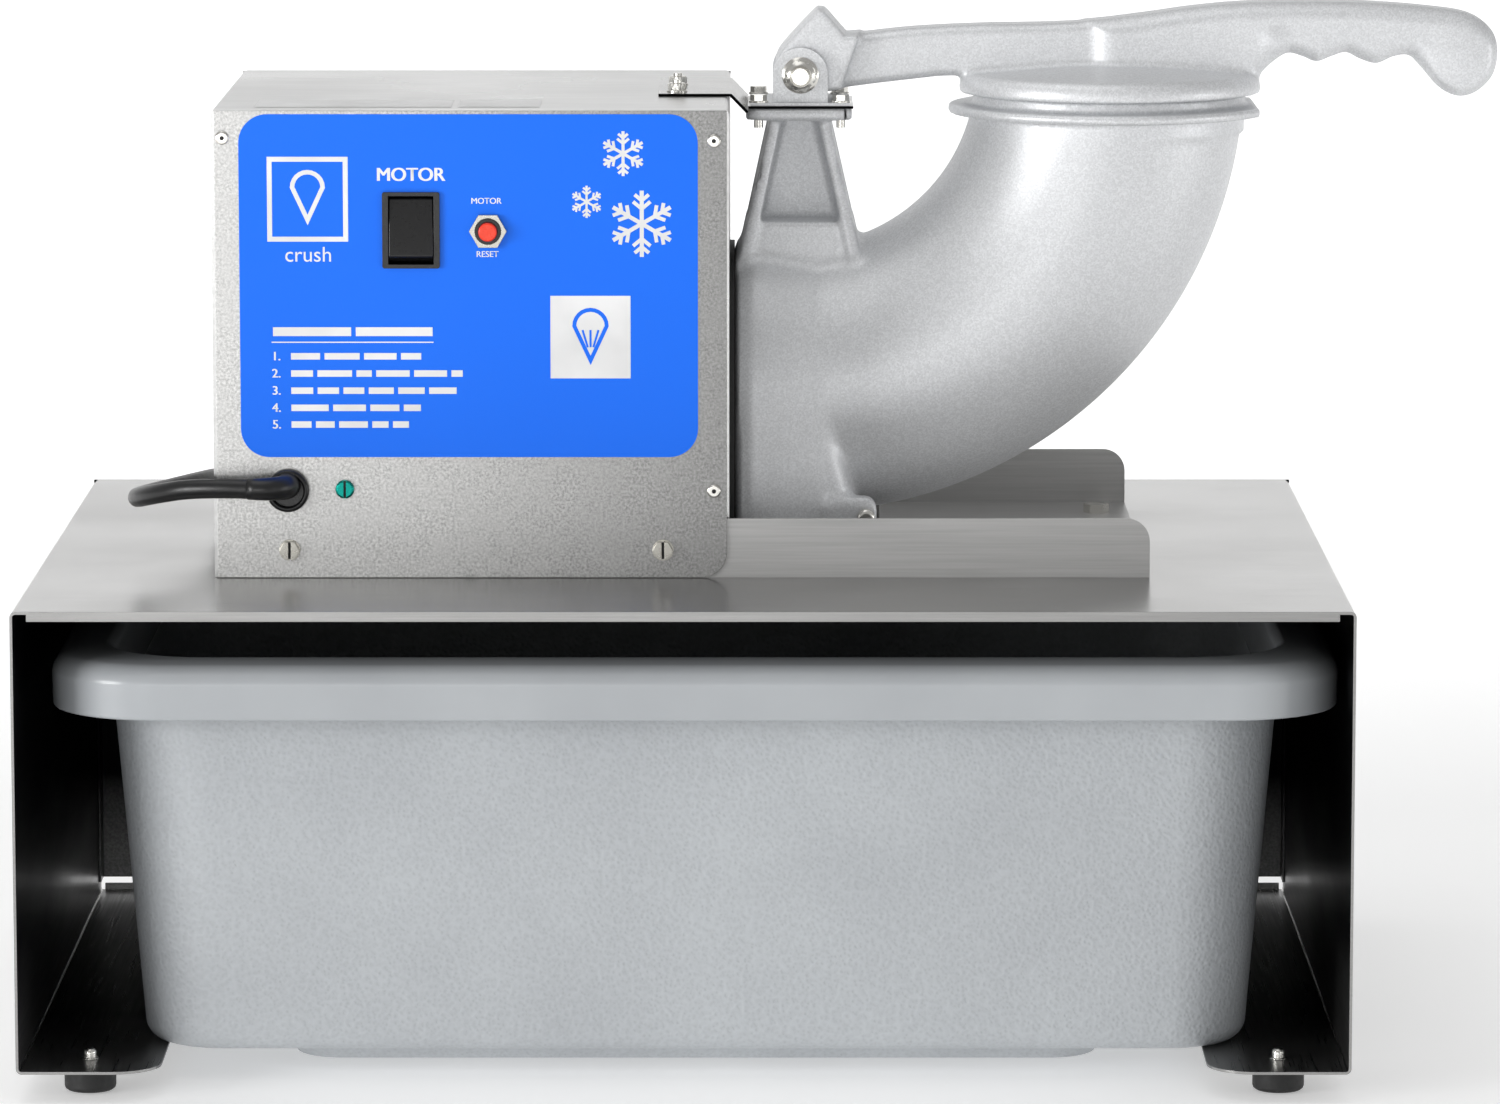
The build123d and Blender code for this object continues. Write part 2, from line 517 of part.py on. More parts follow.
def hopper_casting():
    """Cutter housing, curved hopper, mouth flange and hinge post in one casting."""
    body = slab_yz(head_outline(HEAD_R, FLOOR), HEAD_X0, HEAD_X1)
    skirt = loft([
        Pos(HEAD_X1, 0, 0) * (Plane.YZ * rounded(AXIS_Y - HEAD_R, AXIS_Y + HEAD_R, FLOOR, AXIS_Z, 6)),
        Pos(HEAD_X1 + 14, 0, 0) * (Plane.YZ * rounded(AXIS_Y - 56, AXIS_Y + 56, FLOOR, AXIS_Z - 8, 10)),
    ])
    body += skirt + bend(TUBE_R, 0, 90) + pedestal()
    flange = rod_z(MOUTH_FLANGE_Z0, MOUTH_FLANGE_Z1, MOUTH_X, AXIS_Y, MOUTH_FLANGE_R)
    body += flange & block(0, MOUTH_X + 64.3, -99, 99, MOUTH_FLANGE_Z0, MOUTH_FLANGE_Z1)
    for sign in (-1, 1):
        y0, y1 = sorted((AXIS_Y + sign * 50, AXIS_Y + sign * 60))
        body += block(HEAD_X1, 83.0, y0, y1, FLOOR, 236.0)
    body -= block(MOUTH_X - 99, MOUTH_X + 99, -99, 99, MOUTH_TOP, MOUTH_TOP + 30)
    body -= bend(BORE_R, 0, 92)
    body -= rod_x(HEAD_X0 + HEAD_WALL, PIVOT_X, AXIS_Y, AXIS_Z, BORE_R)
    body -= block(HEAD_X0 + HEAD_WALL, DISC_X0 + 0.5, AXIS_Y - 48, AXIS_Y + 48, FLOOR - 1, AXIS_Z)
    body -= block(HEAD_X1 - 12, 76.0, AXIS_Y - 50, AXIS_Y + 50, FLOOR - 1, 224.0)
    body -= rod_x(HEAD_X0 - 1, HEAD_X0 + HEAD_WALL + 1, AXIS_Y, AXIS_Z, 14.0)
    for y, z in head_bolt_places():
        body -= rod_x(HEAD_X0 - 1, HEAD_X0 + HEAD_WALL + 1, y, z, HEAD_BOLT_R + 0.1)
    for x in BRACKET_SCREW_X:
        for y in (-BRACKET_SCREW_Y, BRACKET_SCREW_Y):
            body -= rod_z(PLATFORM_Z0 - 1, PLATFORM_Z1 + 1, x, AXIS_Y + y, 2.1)
    for sign in (-1, 1):
        body -= rod_y(AXIS_Y + min(sign * 45, sign * 65), AXIS_Y + max(sign * 45, sign * 65), *LUG_SCREW, 2.1)
    return body


def head_gasket():
    """Sheet rubber between the head and the motor box."""
    gasket = slab_yz(head_outline(HEAD_R - 1.5, FLOOR), BOX_X1, HEAD_X0)
    gasket -= rod_x(BOX_X1 - 1, HEAD_X0 + 1, AXIS_Y, AXIS_Z, 22.0)
    for y, z in head_bolt_places():
        gasket -= rod_x(BOX_X1 - 1, HEAD_X0 + 1, y, z, HEAD_BOLT_R + 0.1)
    return gasket


def head_bolts():
    """Hexagon bolts inside the cutter chamber, into the motor's front bell."""
    bolts = []
    inside = HEAD_X0 + HEAD_WALL
    for y, z in head_bolt_places():
        head = Pos(inside, y, z) * Rot(0, 90, 0) * extrude(hexagon(10), 4)
        bolts.append(head + rod_x(11.0, inside, y, z, HEAD_BOLT_R))
    return joined(bolts)


def hopper_foot():
    """Folded foot on the tray, between the two lugs of the casting."""
    x0, x1, half = 72.0, 86.0, 50.0
    foot = block(x0, x1, AXIS_Y - half, AXIS_Y + half, FLOOR, FLOOR + 2)
    for sign in (-1, 1):
        y0, y1 = sorted((AXIS_Y + sign * half, AXIS_Y + sign * (half - 2)))
        foot += block(77.0, x1, y0, y1, FLOOR + 2, 221.5)
    return foot


def lug_screws():
    """Round-head screws through the lugs."""
    screws = []
    for sign in (-1, 1):
        face = AXIS_Y + sign * 60
        y0, y1 = sorted((face, face + sign * 3.0))
        head = rod_y(y0, y1, *LUG_SCREW, 3.9)
        head = fillet(head.edges().group_by(Axis.Y)[0 if sign < 0 else -1], 2.0)
        y0, y1 = sorted((face, face - sign * 9.8))
        screws.append(head + rod_y(y0, y1, *LUG_SCREW, 2.0))
    return joined(screws)


# ---- hinge --------------------------------------------------------------------------------------
def hinge_strap():
    """Stepped plate that ties the hinge platform to the top of the motor box."""
    x_end, low0, low1 = 73.0, 27.0, PLATFORM_Z1
    line = [(-12.0, BOX_TOP), (19.0, BOX_TOP), (low0 - 1, low1), (x_end, low1), (x_end, low1 + STRAP_T),
            (low0 - 0.2, low1 + STRAP_T), (19.8, BOX_TOP + STRAP_T), (-12.0, BOX_TOP + STRAP_T)]
    strap = slab_xz(polygon(line), STRAP_Y0, STRAP_Y1)
    for y0, y1 in ((STRAP_Y0 - 1, AXIS_Y - PLATFORM_Y), (AXIS_Y + PLATFORM_Y, STRAP_Y1 + 1)):
        strap -= block(low0, x_end + 1, y0, y1, low1 - 1, low1 + 9)
    for x, y in STRAP_BOLTS:
        strap -= rod_z(BOX_TOP - 1, BOX_TOP + 4, x, y, STRAP_BOLT_R + 0.1)
    for x in BRACKET_SCREW_X:
        for y in (-BRACKET_SCREW_Y, BRACKET_SCREW_Y):
            strap -= rod_z(low1 - 1, low1 + 4, x, AXIS_Y + y, 2.1)
    return strap


def hinge_bracket():
    """Base with two round-topped ears that carry the hinge bolt."""
    base_top = STRAP_TOP + BRACKET_T
    bracket = block(28.0, 71.5, AXIS_Y - 26.0, AXIS_Y + 26.0, STRAP_TOP, base_top)
    for sign in (-1, 1):
        y0, y1 = sorted((AXIS_Y + sign * EAR_IN, AXIS_Y + sign * (EAR_IN + EAR_T)))
        bracket += block(PIVOT_X - EAR_R, PIVOT_X + EAR_R, y0, y1, STRAP_TOP, PIVOT_Z)
        bracket += rod_y(y0, y1, PIVOT_X, PIVOT_Z, EAR_R)
    bracket -= rod_y(AXIS_Y - 40, AXIS_Y + 40, PIVOT_X, PIVOT_Z, HINGE_BOLT_R)
    for x in BRACKET_SCREW_X:
        for y in (-BRACKET_SCREW_Y, BRACKET_SCREW_Y):
            bracket -= rod_z(STRAP_TOP - 1, base_top + 1, x, AXIS_Y + y, 2.1)
    return bracket


def bracket_screws():
    """Four screws down through the bracket, the strap and the platform."""
    screws = []
    base_top = STRAP_TOP + BRACKET_T
    for x in BRACKET_SCREW_X:
        for y in (-BRACKET_SCREW_Y, BRACKET_SCREW_Y):
            head = rod_z(base_top, base_top + 0.9, x, AXIS_Y + y, 4.3)
            top = Pos(x, AXIS_Y + y, base_top + 0.9) * extrude(hexagon(6.4), 2.6)
            screws.append(head + top + rod_z(394.6, base_top, x, AXIS_Y + y, 2.0))
    return joined(screws)


def strap_bolts():
    """Two bolts up through the box top and the strap."""
    bolts = []
    for x, y in STRAP_BOLTS:
        head = Pos(x, y, BOX_TOP - SHEET - 2.8) * extrude(hexagon(7), 2.8)
        bolts.append(head + rod_z(BOX_TOP - SHEET, BOX_TOP + 6.4, x, y, STRAP_BOLT_R))
    return joined(bolts)


def strap_nuts():
    """The nuts and washers on the two strap bolts."""
    nuts = []
    z0 = BOX_TOP + STRAP_T
    for x, y in STRAP_BOLTS:
        nut = rod_z(z0, z0 + 0.8, x, y, 4.5) + Pos(x, y, z0 + 0.8) * extrude(hexagon(7), 3.2)
        nuts.append(nut - rod_z(z0 - 1, z0 + 9, x, y, STRAP_BOLT_R))
    return joined(nuts)


def hinge_bolt():
    """The hinge pin: a bolt from the back, through both ears and the lever."""
    back, front = AXIS_Y + EAR_IN + EAR_T, AXIS_Y - EAR_IN - EAR_T
    head = Pos(PIVOT_X, back + 5.0, PIVOT_Z) * Rot(90, 0, 0) * extrude(hexagon(13), 5.0)
    return head + rod_y(front - 9.5, back, PIVOT_X, PIVOT_Z, HINGE_BOLT_R)


def hinge_nut():
    """Flange nut on the front end of the hinge bolt."""
    front = AXIS_Y - EAR_IN - EAR_T
    nut = rod_y(front - 1.5, front, PIVOT_X, PIVOT_Z, 8.0)
    nut += Pos(PIVOT_X, front - 1.5, PIVOT_Z) * Rot(90, 0, 0) * extrude(hexagon(12.7), 5.5)
    return nut - rod_y(front - 20, front + 1, PIVOT_X, PIVOT_Z, HINGE_BOLT_R)


# ---- lever and pusher ---------------------------------------------------------------------------
def lever_casting():
    """Knuckle, arm, lid and finger handle in one casting."""
    top = Spline((201.5, 443.0), (245.0, 448.0), (274.0, 448.6), (318.0, 446.6), (347.0, 441.8))
    tip = Spline((347.0, 441.8), (356.0, 427.0), (351.0, 413.5), (340.0, 407.3), (329.0, 413.0))
    grip = Spline((329.0, 413.0), (318.0, 426.5), (303.0, 421.8), (289.5, 426.6), (276.5, 422.6),
                  (264.0, 426.0), (250.0, 417.5))
    rest = Polyline((250.0, 417.5), (249.6, 414.0), (117.6, 416.5), (84.8, 413.0), (61.6, 410.0),
                    (50.0, 409.0), (41.0, 419.0), (41.0, 427.2), (57.5, 445.2), (61.0, 445.2),
                    (70.4, 434.5), (129.0, 438.5), (172.0, 440.0), (201.5, 443.0))
    body = slab_xz(make_face(top + tip + grip + rest), AXIS_Y - ARM_HALF, AXIS_Y + ARM_HALF)
    body += rod_y(AXIS_Y - KNUCKLE_HALF, AXIS_Y + KNUCKLE_HALF, PIVOT_X, PIVOT_Z, KNUCKLE_R)
    lid = rod_z(LID_Z0, LID_Z1, MOUTH_X, AXIS_Y, LID_R)
    lid = fillet(lid.edges().group_by(Axis.Z)[-1], 8)
    body += lid + rod_z(LID_PLUG_Z0, LID_Z0, MOUTH_X, AXIS_Y, LID_PLUG_R)
    body -= rod_y(AXIS_Y - 30, AXIS_Y + 30, PIVOT_X, PIVOT_Z, HINGE_BUSH_R)
    for y in (-PAD_SCREW_Y, PAD_SCREW_Y):
        body -= rod_z(LID_PLUG_Z0 - 1, LID_PLUG_Z0 + 9, MOUTH_X - 6, AXIS_Y + y, 2.5)
    return body


def hinge_bushing():
    """Bronze bush in the knuckle, a running fit on the hinge bolt."""
    bush = rod_y(AXIS_Y - KNUCKLE_HALF, AXIS_Y + KNUCKLE_HALF, PIVOT_X, PIVOT_Z, HINGE_BUSH_R)
    return bush - rod_y(AXIS_Y - 30, AXIS_Y + 30, PIVOT_X, PIVOT_Z, HINGE_BOLT_R + SEAT_GAP)


def pusher_arm():
    """Curved arm that follows the hopper's bend down to the pusher plate."""
    thick, half = 4.5, 8.0
    section = Pos(PIVOT_X, 0, 0) * (Plane.YZ * (Pos(AXIS_Y, AXIS_Z) * Rectangle(2 * half, 2 * thick)))
    arm = turned(revolve(section, hinge_axis(), 89 - PUSHER_ANGLE), PUSHER_ANGLE)
    arm -= turned(rod_x(PIVOT_X - 2, PIVOT_X + PUSHER_T, AXIS_Y, AXIS_Z, PUSHER_R), PUSHER_ANGLE)
    pad = rod_z(LID_PLUG_Z0 - 6, LID_PLUG_Z0, MOUTH_X - 6, AXIS_Y, 19)
    arm = (arm - block(100, 300, -99, 99, LID_PLUG_Z0, 500)) + pad
    for y in (-PAD_SCREW_Y, PAD_SCREW_Y):
        arm -= rod_z(LID_PLUG_Z0 - 30, LID_PLUG_Z0 + 1, MOUTH_X - 6, AXIS_Y + y, 2.6)
    return arm


def pusher_plate():
    """Round plate that pushes the ice along the hopper, with grip ridges on its face."""
    plate = rod_x(PIVOT_X, PIVOT_X + PUSHER_T, AXIS_Y, AXIS_Z, PUSHER_R)
    plate = fillet(plate.edges().group_by(Axis.X)[-1], 1.5)
    for y in (-24.0, 0.0, 24.0):
        plate += block(PIVOT_X - 3, PIVOT_X, AXIS_Y + y - 2, AXIS_Y + y + 2, AXIS_Z - 36, AXIS_Z + 36)
    return turned(plate, PUSHER_ANGLE)


def pusher_screws():
    """Two cap screws up through the arm's pad into the lid."""
    screws = []
    for y in (-PAD_SCREW_Y, PAD_SCREW_Y):
        x, y0 = MOUTH_X - 6, AXIS_Y + y
        head = rod_z(LID_PLUG_Z0 - 10, LID_PLUG_Z0 - 6, x, y0, 4.2)
        screws.append(head + rod_z(LID_PLUG_Z0 - 6, LID_PLUG_Z0 + 8, x, y0, 2.45))
    return joined(screws)


# ---- motor --------------------------------------------------------------------------------------
def motor_shell():
    """Rolled steel shell of the motor."""
    return ring_x(SHELL_X0, SHELL_X1, AXIS_Y, AXIS_Z, MOTOR_R, MOTOR_BORE)


def motor_stator():
    """Laminated stator core."""
    core = ring_x(-118.0, -42.0, AXIS_Y, AXIS_Z, MOTOR_BORE, STATOR_BORE)
    for step in range(24):
        slot = block(-119, -41, AXIS_Y - 2, AXIS_Y + 2, AXIS_Z + STATOR_BORE - 1, AXIS_Z + STATOR_BORE + 9)
        core -= slot.rotate(rotor_axis(), 15 * step)
    return core


def stator_windings():
    """Copper end turns at both ends of the stator."""
    ends = []
    for x0, x1 in ((-132.0, -118.0), (-42.0, -28.0)):
        end = ring_x(x0, x1, AXIS_Y, AXIS_Z, 57.0, 39.0)
        ends.append(fillet(end.edges().filter_by(GeomType.CIRCLE), 4))
    return joined(ends)


def motor_front_bell():
    """Cast end bell bolted to the box wall, with the front bearing's seat."""
    face = BOX_X1 - SHEET
    bell = rod_x(SHELL_X1, face, AXIS_Y, AXIS_Z, MOTOR_R)
    bell -= rod_x(SHELL_X1 - 1, 4.0, AXIS_Y, AXIS_Z, 56.0)
    bell += rod_x(SHELL_X1, 4.0, AXIS_Y, AXIS_Z, BEARING_R + 5)
    bell += rod_x(face, HEAD_X0, AXIS_Y, AXIS_Z, 21.8)
    bell -= rod_x(SHELL_X1 - 1, -8.0 + BEARING_W, AXIS_Y, AXIS_Z, BEARING_R)
    bell -= rod_x(-9.0, HEAD_X0 + 1, AXIS_Y, AXIS_Z, 9.5)
    for y, z in head_bolt_places():
        bell -= rod_x(10.0, face + 1, y, z, HEAD_BOLT_R)
    return bell


def motor_rear_bell():
    """Rear end bell with cooling holes and the rear bearing's seat."""
    x0 = SHELL_X0 - 20
    bell = rod_x(x0, SHELL_X0, AXIS_Y, AXIS_Z, MOTOR_R)
    bell = fillet(bell.edges().group_by(Axis.X)[0], 6)
    bell -= rod_x(x0 + 5, SHELL_X0 + 1, AXIS_Y, AXIS_Z, 56.0)
    bell += rod_x(x0, x0 + 17, AXIS_Y, AXIS_Z, BEARING_R + 5)
    bell -= rod_x(x0 + 5, x0 + 18, AXIS_Y, AXIS_Z, BEARING_R)
    for step in range(8):
        hole = rod_x(x0 - 1, x0 + 6, AXIS_Y, AXIS_Z + 42, 7)
        bell -= hole.rotate(rotor_axis(), 45 * step)
    return bell


def motor_bearings():
    """Two ball bearings, drawn as rings, a running fit on the shaft."""
    front = ring_x(-8.0, -8.0 + BEARING_W, AXIS_Y, AXIS_Z, BEARING_R, SHAFT_R + SEAT_GAP)
    x0 = SHELL_X0 - 15
    return joined([front, ring_x(x0, x0 + BEARING_W, AXIS_Y, AXIS_Z, BEARING_R, SHAFT_R + SEAT_GAP)])


def motor_cradle():
    """Folded cradle on the tray floor that steadies the motor shell."""
    cradle = block(-140, -20, AXIS_Y - 46, AXIS_Y + 46, FLOOR, FLOOR + 2)
    for x in (-140.0, -23.0):
        cradle += block(x, x + 3, AXIS_Y - 46, AXIS_Y + 46, FLOOR + 2, AXIS_Z - 34)
    return cradle - rod_x(-150, -10, AXIS_Y, AXIS_Z, MOTOR_R)


CAP_R, CAP_Z = 17.0, 365.0


def start_capacitor():
    """The motor's start capacitor in its can, with two terminals."""
    can = rod_x(-122.0, -48.0, AXIS_Y, CAP_Z, CAP_R)
    can = fillet(can.edges().filter_by(GeomType.CIRCLE), 2)
    for y in (-6.0, 6.0):
        can += block(-130, -122, AXIS_Y + y - 3, AXIS_Y + y + 3, CAP_Z - 0.4, CAP_Z + 0.4)
    return can


def capacitor_bracket():
    """Saddle and band that hold the capacitor on the motor."""
    bracket = ring_x(-92.0, -78.0, AXIS_Y, CAP_Z, CAP_R + 1.4, CAP_R)
    saddle = block(-92, -78, AXIS_Y - 13, AXIS_Y + 13, AXIS_Z + 50, CAP_Z - 12)
    saddle -= rod_x(-99, -70, AXIS_Y, CAP_Z, CAP_R)
    return bracket + (saddle - rod_x(-99, -70, AXIS_Y, AXIS_Z, MOTOR_R))


def motor_shaft():
    """Shaft from the rear bearing to the cutter disc's nut."""
    shaft = rod_x(SHELL_X0 - 15, 50.0, AXIS_Y, AXIS_Z, SHAFT_R)
    return shaft + rod_x(50.0, 64.0, AXIS_Y, AXIS_Z, 5.0)


def rotor_core():
    """Squirrel-cage rotor on the shaft."""
    core = ring_x(-118.0, -42.0, AXIS_Y, AXIS_Z, STATOR_BORE - 0.5, SHAFT_R)
    for x0, x1 in ((-124.0, -118.0), (-42.0, -36.0)):
        core += ring_x(x0, x1, AXIS_Y, AXIS_Z, 32.0, 20.0)
    return core


def cooling_fan():
    """Fan on the shaft behind the windings."""
    fan = ring_x(-148.5, -136.0, AXIS_Y, AXIS_Z, 15.0, SHAFT_R)
    for step in range(9):
        blade = block(-147.5, -137.0, AXIS_Y - 0.8, AXIS_Y + 0.8, AXIS_Z + 14, AXIS_Z + 54)
        blade = blade.rotate(Axis((-142, AXIS_Y, AXIS_Z), (0, 0, 1)), 28)
        fan += blade.rotate(rotor_axis(), 40 * step)
    return fan


def shaft_seal():
    """Lip seal in the head's back wall."""
    return ring_x(HEAD_X0, HEAD_X0 + HEAD_WALL, AXIS_Y, AXIS_Z, 14.0, SHAFT_R + SEAT_GAP)


# ---- cutter -------------------------------------------------------------------------------------
def blade_frame(step):
    """Turn of one of the three blades about the motor's axis."""
    return 120 * step + 20


def cutter_disc():
    """Disc with three slots that the shavings pass through, and a hub on the shaft."""
    disc = rod_x(DISC_X0, DISC_X1, AXIS_Y, AXIS_Z, DISC_R) + rod_x(HUB_X0, DISC_X0, AXIS_Y, AXIS_Z, HUB_R)
    disc -= rod_x(HUB_X0 - 1, 50.0, AXIS_Y, AXIS_Z, SHAFT_R)
    disc -= rod_x(49.0, DISC_X1 + 1, AXIS_Y, AXIS_Z, 5.0)
    for step in range(3):
        z0, z1 = AXIS_Z + BLADE_MID - BLADE_L / 2 + 1, AXIS_Z + BLADE_MID + BLADE_L / 2 - 1
        slot = block(DISC_X0 - 1, DISC_X1 + 1, AXIS_Y + 4, AXIS_Y + 11, z0, z1)
        disc -= slot.rotate(rotor_axis(), blade_frame(step))
        for dz in (-BLADE_HOLE, BLADE_HOLE):
            hole = rod_x(DISC_X0 + 1, DISC_X1 + 1, AXIS_Y - 4, AXIS_Z + BLADE_MID + dz, 2.0)
            disc -= hole.rotate(rotor_axis(), blade_frame(step))
    return disc


def cutter_blades():
    """Three flat blades, bevelled along the edge over the slot."""
    blades = []
    for step in range(3):
        edge = polygon([(DISC_X1, AXIS_Y - 9), (DISC_X1 + BLADE_T, AXIS_Y - 9),
                        (DISC_X1 + BLADE_T, AXIS_Y + 6.5), (DISC_X1, AXIS_Y + 3.0)])
        blade = Pos(0, 0, AXIS_Z + BLADE_MID - BLADE_L / 2) * extrude(edge, BLADE_L)
        for dz in (-BLADE_HOLE, BLADE_HOLE):
            blade -= rod_x(DISC_X1 - 1, DISC_X1 + 9, AXIS_Y - 4, AXIS_Z + BLADE_MID + dz, 2.0)
        blades.append(blade.rotate(rotor_axis(), blade_frame(step)))
    return joined(blades)


def blade_screws():
    """Two button-head screws on each blade."""
    screws = []
    top = DISC_X1 + BLADE_T
    for step in range(3):
        for dz in (-BLADE_HOLE, BLADE_HOLE):
            z = AXIS_Z + BLADE_MID + dz
            head = rod_x(top, top + 1.8, AXIS_Y - 4, z, 3.4)
            screw = head + rod_x(DISC_X0 + 1.5, top, AXIS_Y - 4, z, 1.95)
            screws.append(screw.rotate(rotor_axis(), blade_frame(step)))
    return joined(screws)


def disc_nut():
    """The nut that holds the disc on the shaft."""
    nut = rod_x(DISC_X1, DISC_X1 + 1, AXIS_Y, AXIS_Z, 9.5)
    nut += Pos(DISC_X1 + 1, AXIS_Y, AXIS_Z) * Rot(0, 90, 0) * extrude(hexagon(15), NUT_X1 - DISC_X1 - 1)
    return nut - rod_x(DISC_X1 - 1, NUT_X1 + 9, AXIS_Y, AXIS_Z, 5.0)


# ---- tub ----------------------------------------------------------------------------------------
def tub_frustum(low, high, z0, z1, low_r, high_r):
    """A tapered block with rounded corners."""
    bottom = Pos(TUB_X, TUB_Y, z0) * RectangleRounded(*low, low_r)
    top = Pos(TUB_X, TUB_Y, z1) * RectangleRounded(*high, high_r)
    return loft([bottom, top])


def ice_tub():
    """The lift-out tub: tapered body, lowered base and a rolled rim."""
    body = tub_frustum(TUB_LOW, TUB_HIGH, TUB_BOTTOM, TUB_TOP, 34, 44)
    body = fillet(body.edges().group_by(Axis.Z)[0], 9)
    body += Pos(TUB_X, TUB_Y, BASE_Z0) * extrude(RectangleRounded(*BASE_SIZE, 24), TUB_BOTTOM - BASE_Z0 + 1)
    rim_outer = slab_xy(RectangleRounded(*RIM_SIZE, RIM_CORNER), RIM_Z0, TUB_TOP)
    rim_outer = Pos(TUB_X, TUB_Y, 0) * rim_outer
    rim_outer = fillet(rim_outer.edges().group_by(Axis.Z)[-1], 4)
    skirt = [size - 2 * RIM_T for size in RIM_SIZE]
    rim_inner = slab_xy(RectangleRounded(*skirt, RIM_CORNER - RIM_T), RIM_Z0 - 1, TUB_TOP - RIM_T)
    body += rim_outer - Pos(TUB_X, TUB_Y, 0) * rim_inner
    low = [size - 2 * TUB_WALL for size in TUB_LOW]
    high = [size - 2 * TUB_WALL for size in TUB_HIGH]
    hollow = tub_frustum(low, high, TUB_BOTTOM + TUB_WALL, TUB_TOP + 0.01, 31, 41)
    hollow = fillet(hollow.edges().group_by(Axis.Z)[0], 8)
    base = [size - 2 * TUB_WALL for size in BASE_SIZE]
    pocket = Pos(TUB_X, TUB_Y, BASE_Z0 + TUB_WALL) * extrude(RectangleRounded(*base, 21), 12)
    return body - hollow - pocket


# ---- supply cord --------------------------------------------------------------------------------
def cord_bushing():
    """Strain relief snapped into the panel; its boot turns the cord to the left."""
    x, z = CORD_HOLE
    face = BOX_Y0 - 5.0
    bushing = rod_y(face, BOX_Y0, x, z, 9.2)
    bushing = fillet(bushing.edges().group_by(Axis.Y)[0], 0.8)
    bushing += rod_y(BOX_Y0, PANEL_BACK + 8, x, z, 7.5)
    boot_z = CORD_EXIT[2]
    section = Plane(origin=(x, face, boot_z), z_dir=(0, -1, 0)) * Circle(BOOT_R)
    elbow = revolve(section, Axis((x - BOOT_TURN_R, face, boot_z), (0, 0, 1)), -BOOT_TURN)
    turn = math.radians(BOOT_TURN)
    heading = (-math.sin(turn), -math.cos(turn), 0)
    start = (x - BOOT_TURN_R * (1 - math.cos(turn)), face - BOOT_TURN_R * math.sin(turn), boot_z)
    along = (Vector(*CORD_EXIT) - Vector(*start)).length
    nose = Plane(origin=start, z_dir=heading) * Pos(0, 0, along / 2 - 0.5) * Cone(
        BOOT_R - 0.15, CORD_R + 0.5, along + 1)
    return bushing + elbow + nose


def route_radii(points):
    """The largest arc radius that each corner's two runs allow."""
    vectors = [Vector(*p) for p in points]
    radii = []
    for before, here, after in zip(vectors, vectors[1:], vectors[2:]):
        turn = math.radians((here - before).get_angle(after - here))
        shorter = min((here - before).length, (after - here).length)
        radii.append(0.45 * shorter / math.tan(turn / 2))
    return radii


def cord_run():
    """The cord from its strain relief, round the box, over the back edge and down to the coil."""
    radii = route_radii(CORD_ROUTE)
    path = FilletPolyline(*CORD_ROUTE, radius=radii)
    start = Plane(origin=CORD_ROUTE[0], z_dir=path % 0)
    tube = sweep(start * Circle(CORD_R), path=path)
    expected = math.pi * CORD_R ** 2 * path.length
    print("cord run length", round(path.length, 1), "radii", [round(r) for r in radii])
    print("cord volume over expected", round(tube.volume / expected, 4))
    return tube


def cord_coil():
    """The wound part of the cord: two turns side by side on two more."""
    ring = Pos(COIL_X, COIL_Y, 2 * CORD_R) * Cylinder(COIL_R + 2 * CORD_R, 4 * CORD_R)
    ring -= Pos(COIL_X, COIL_Y, 2 * CORD_R) * Cylinder(COIL_R - 2 * CORD_R, 4 * CORD_R + 2)
    return fillet(ring.edges().filter_by(GeomType.CIRCLE), 3)


def cord_tie():
    """A tie round the coil's bundle."""
    half, wide = 2 * CORD_R, 4.0
    x0, x1 = COIL_X + COIL_R - half, COIL_X + COIL_R + half
    tie = block(x0 - 1.2, x1 + 1.2, COIL_Y - wide, COIL_Y + wide, 0.0, 4 * CORD_R + 1.2)
    return tie - block(x0, x1 + 0.2, COIL_Y - 9, COIL_Y + 9, -1, 4 * CORD_R)


PLUG_Y, PLUG_Z = COIL_Y + COIL_R + CORD_R, 3 * CORD_R
PLUG_X0 = COIL_X + 22.0


def power_plug():
    """Moulded plug with a tapered tail, lying beside the coil."""
    tail = loft([
        Pos(PLUG_X0, PLUG_Y, PLUG_Z) * Rot(0, 90, 0) * Circle(5.4),
        Pos(PLUG_X0 + 22, PLUG_Y, PLUG_Z) * Rot(0, 90, 0) * Circle(8.0),
    ])
    body = block(PLUG_X0 + 22, PLUG_X0 + 50, PLUG_Y - 14, PLUG_Y + 14, 0.0, 2 * PLUG_Z)
    body = fillet(body.edges(), 4)
    return tail + body


def plug_blades():
    """Two flat blades and the round earth pin of the plug."""
    face = PLUG_X0 + 50
    blades = [block(face, face + 17, PLUG_Y + y - 0.8, PLUG_Y + y + 0.8, PLUG_Z - 6.3, PLUG_Z)
              for y in (-6.35, 6.35)]
    earth = rod_x(face, face + 20, PLUG_Y, PLUG_Z + 8.0, 2.4)
    return joined([*blades, earth])


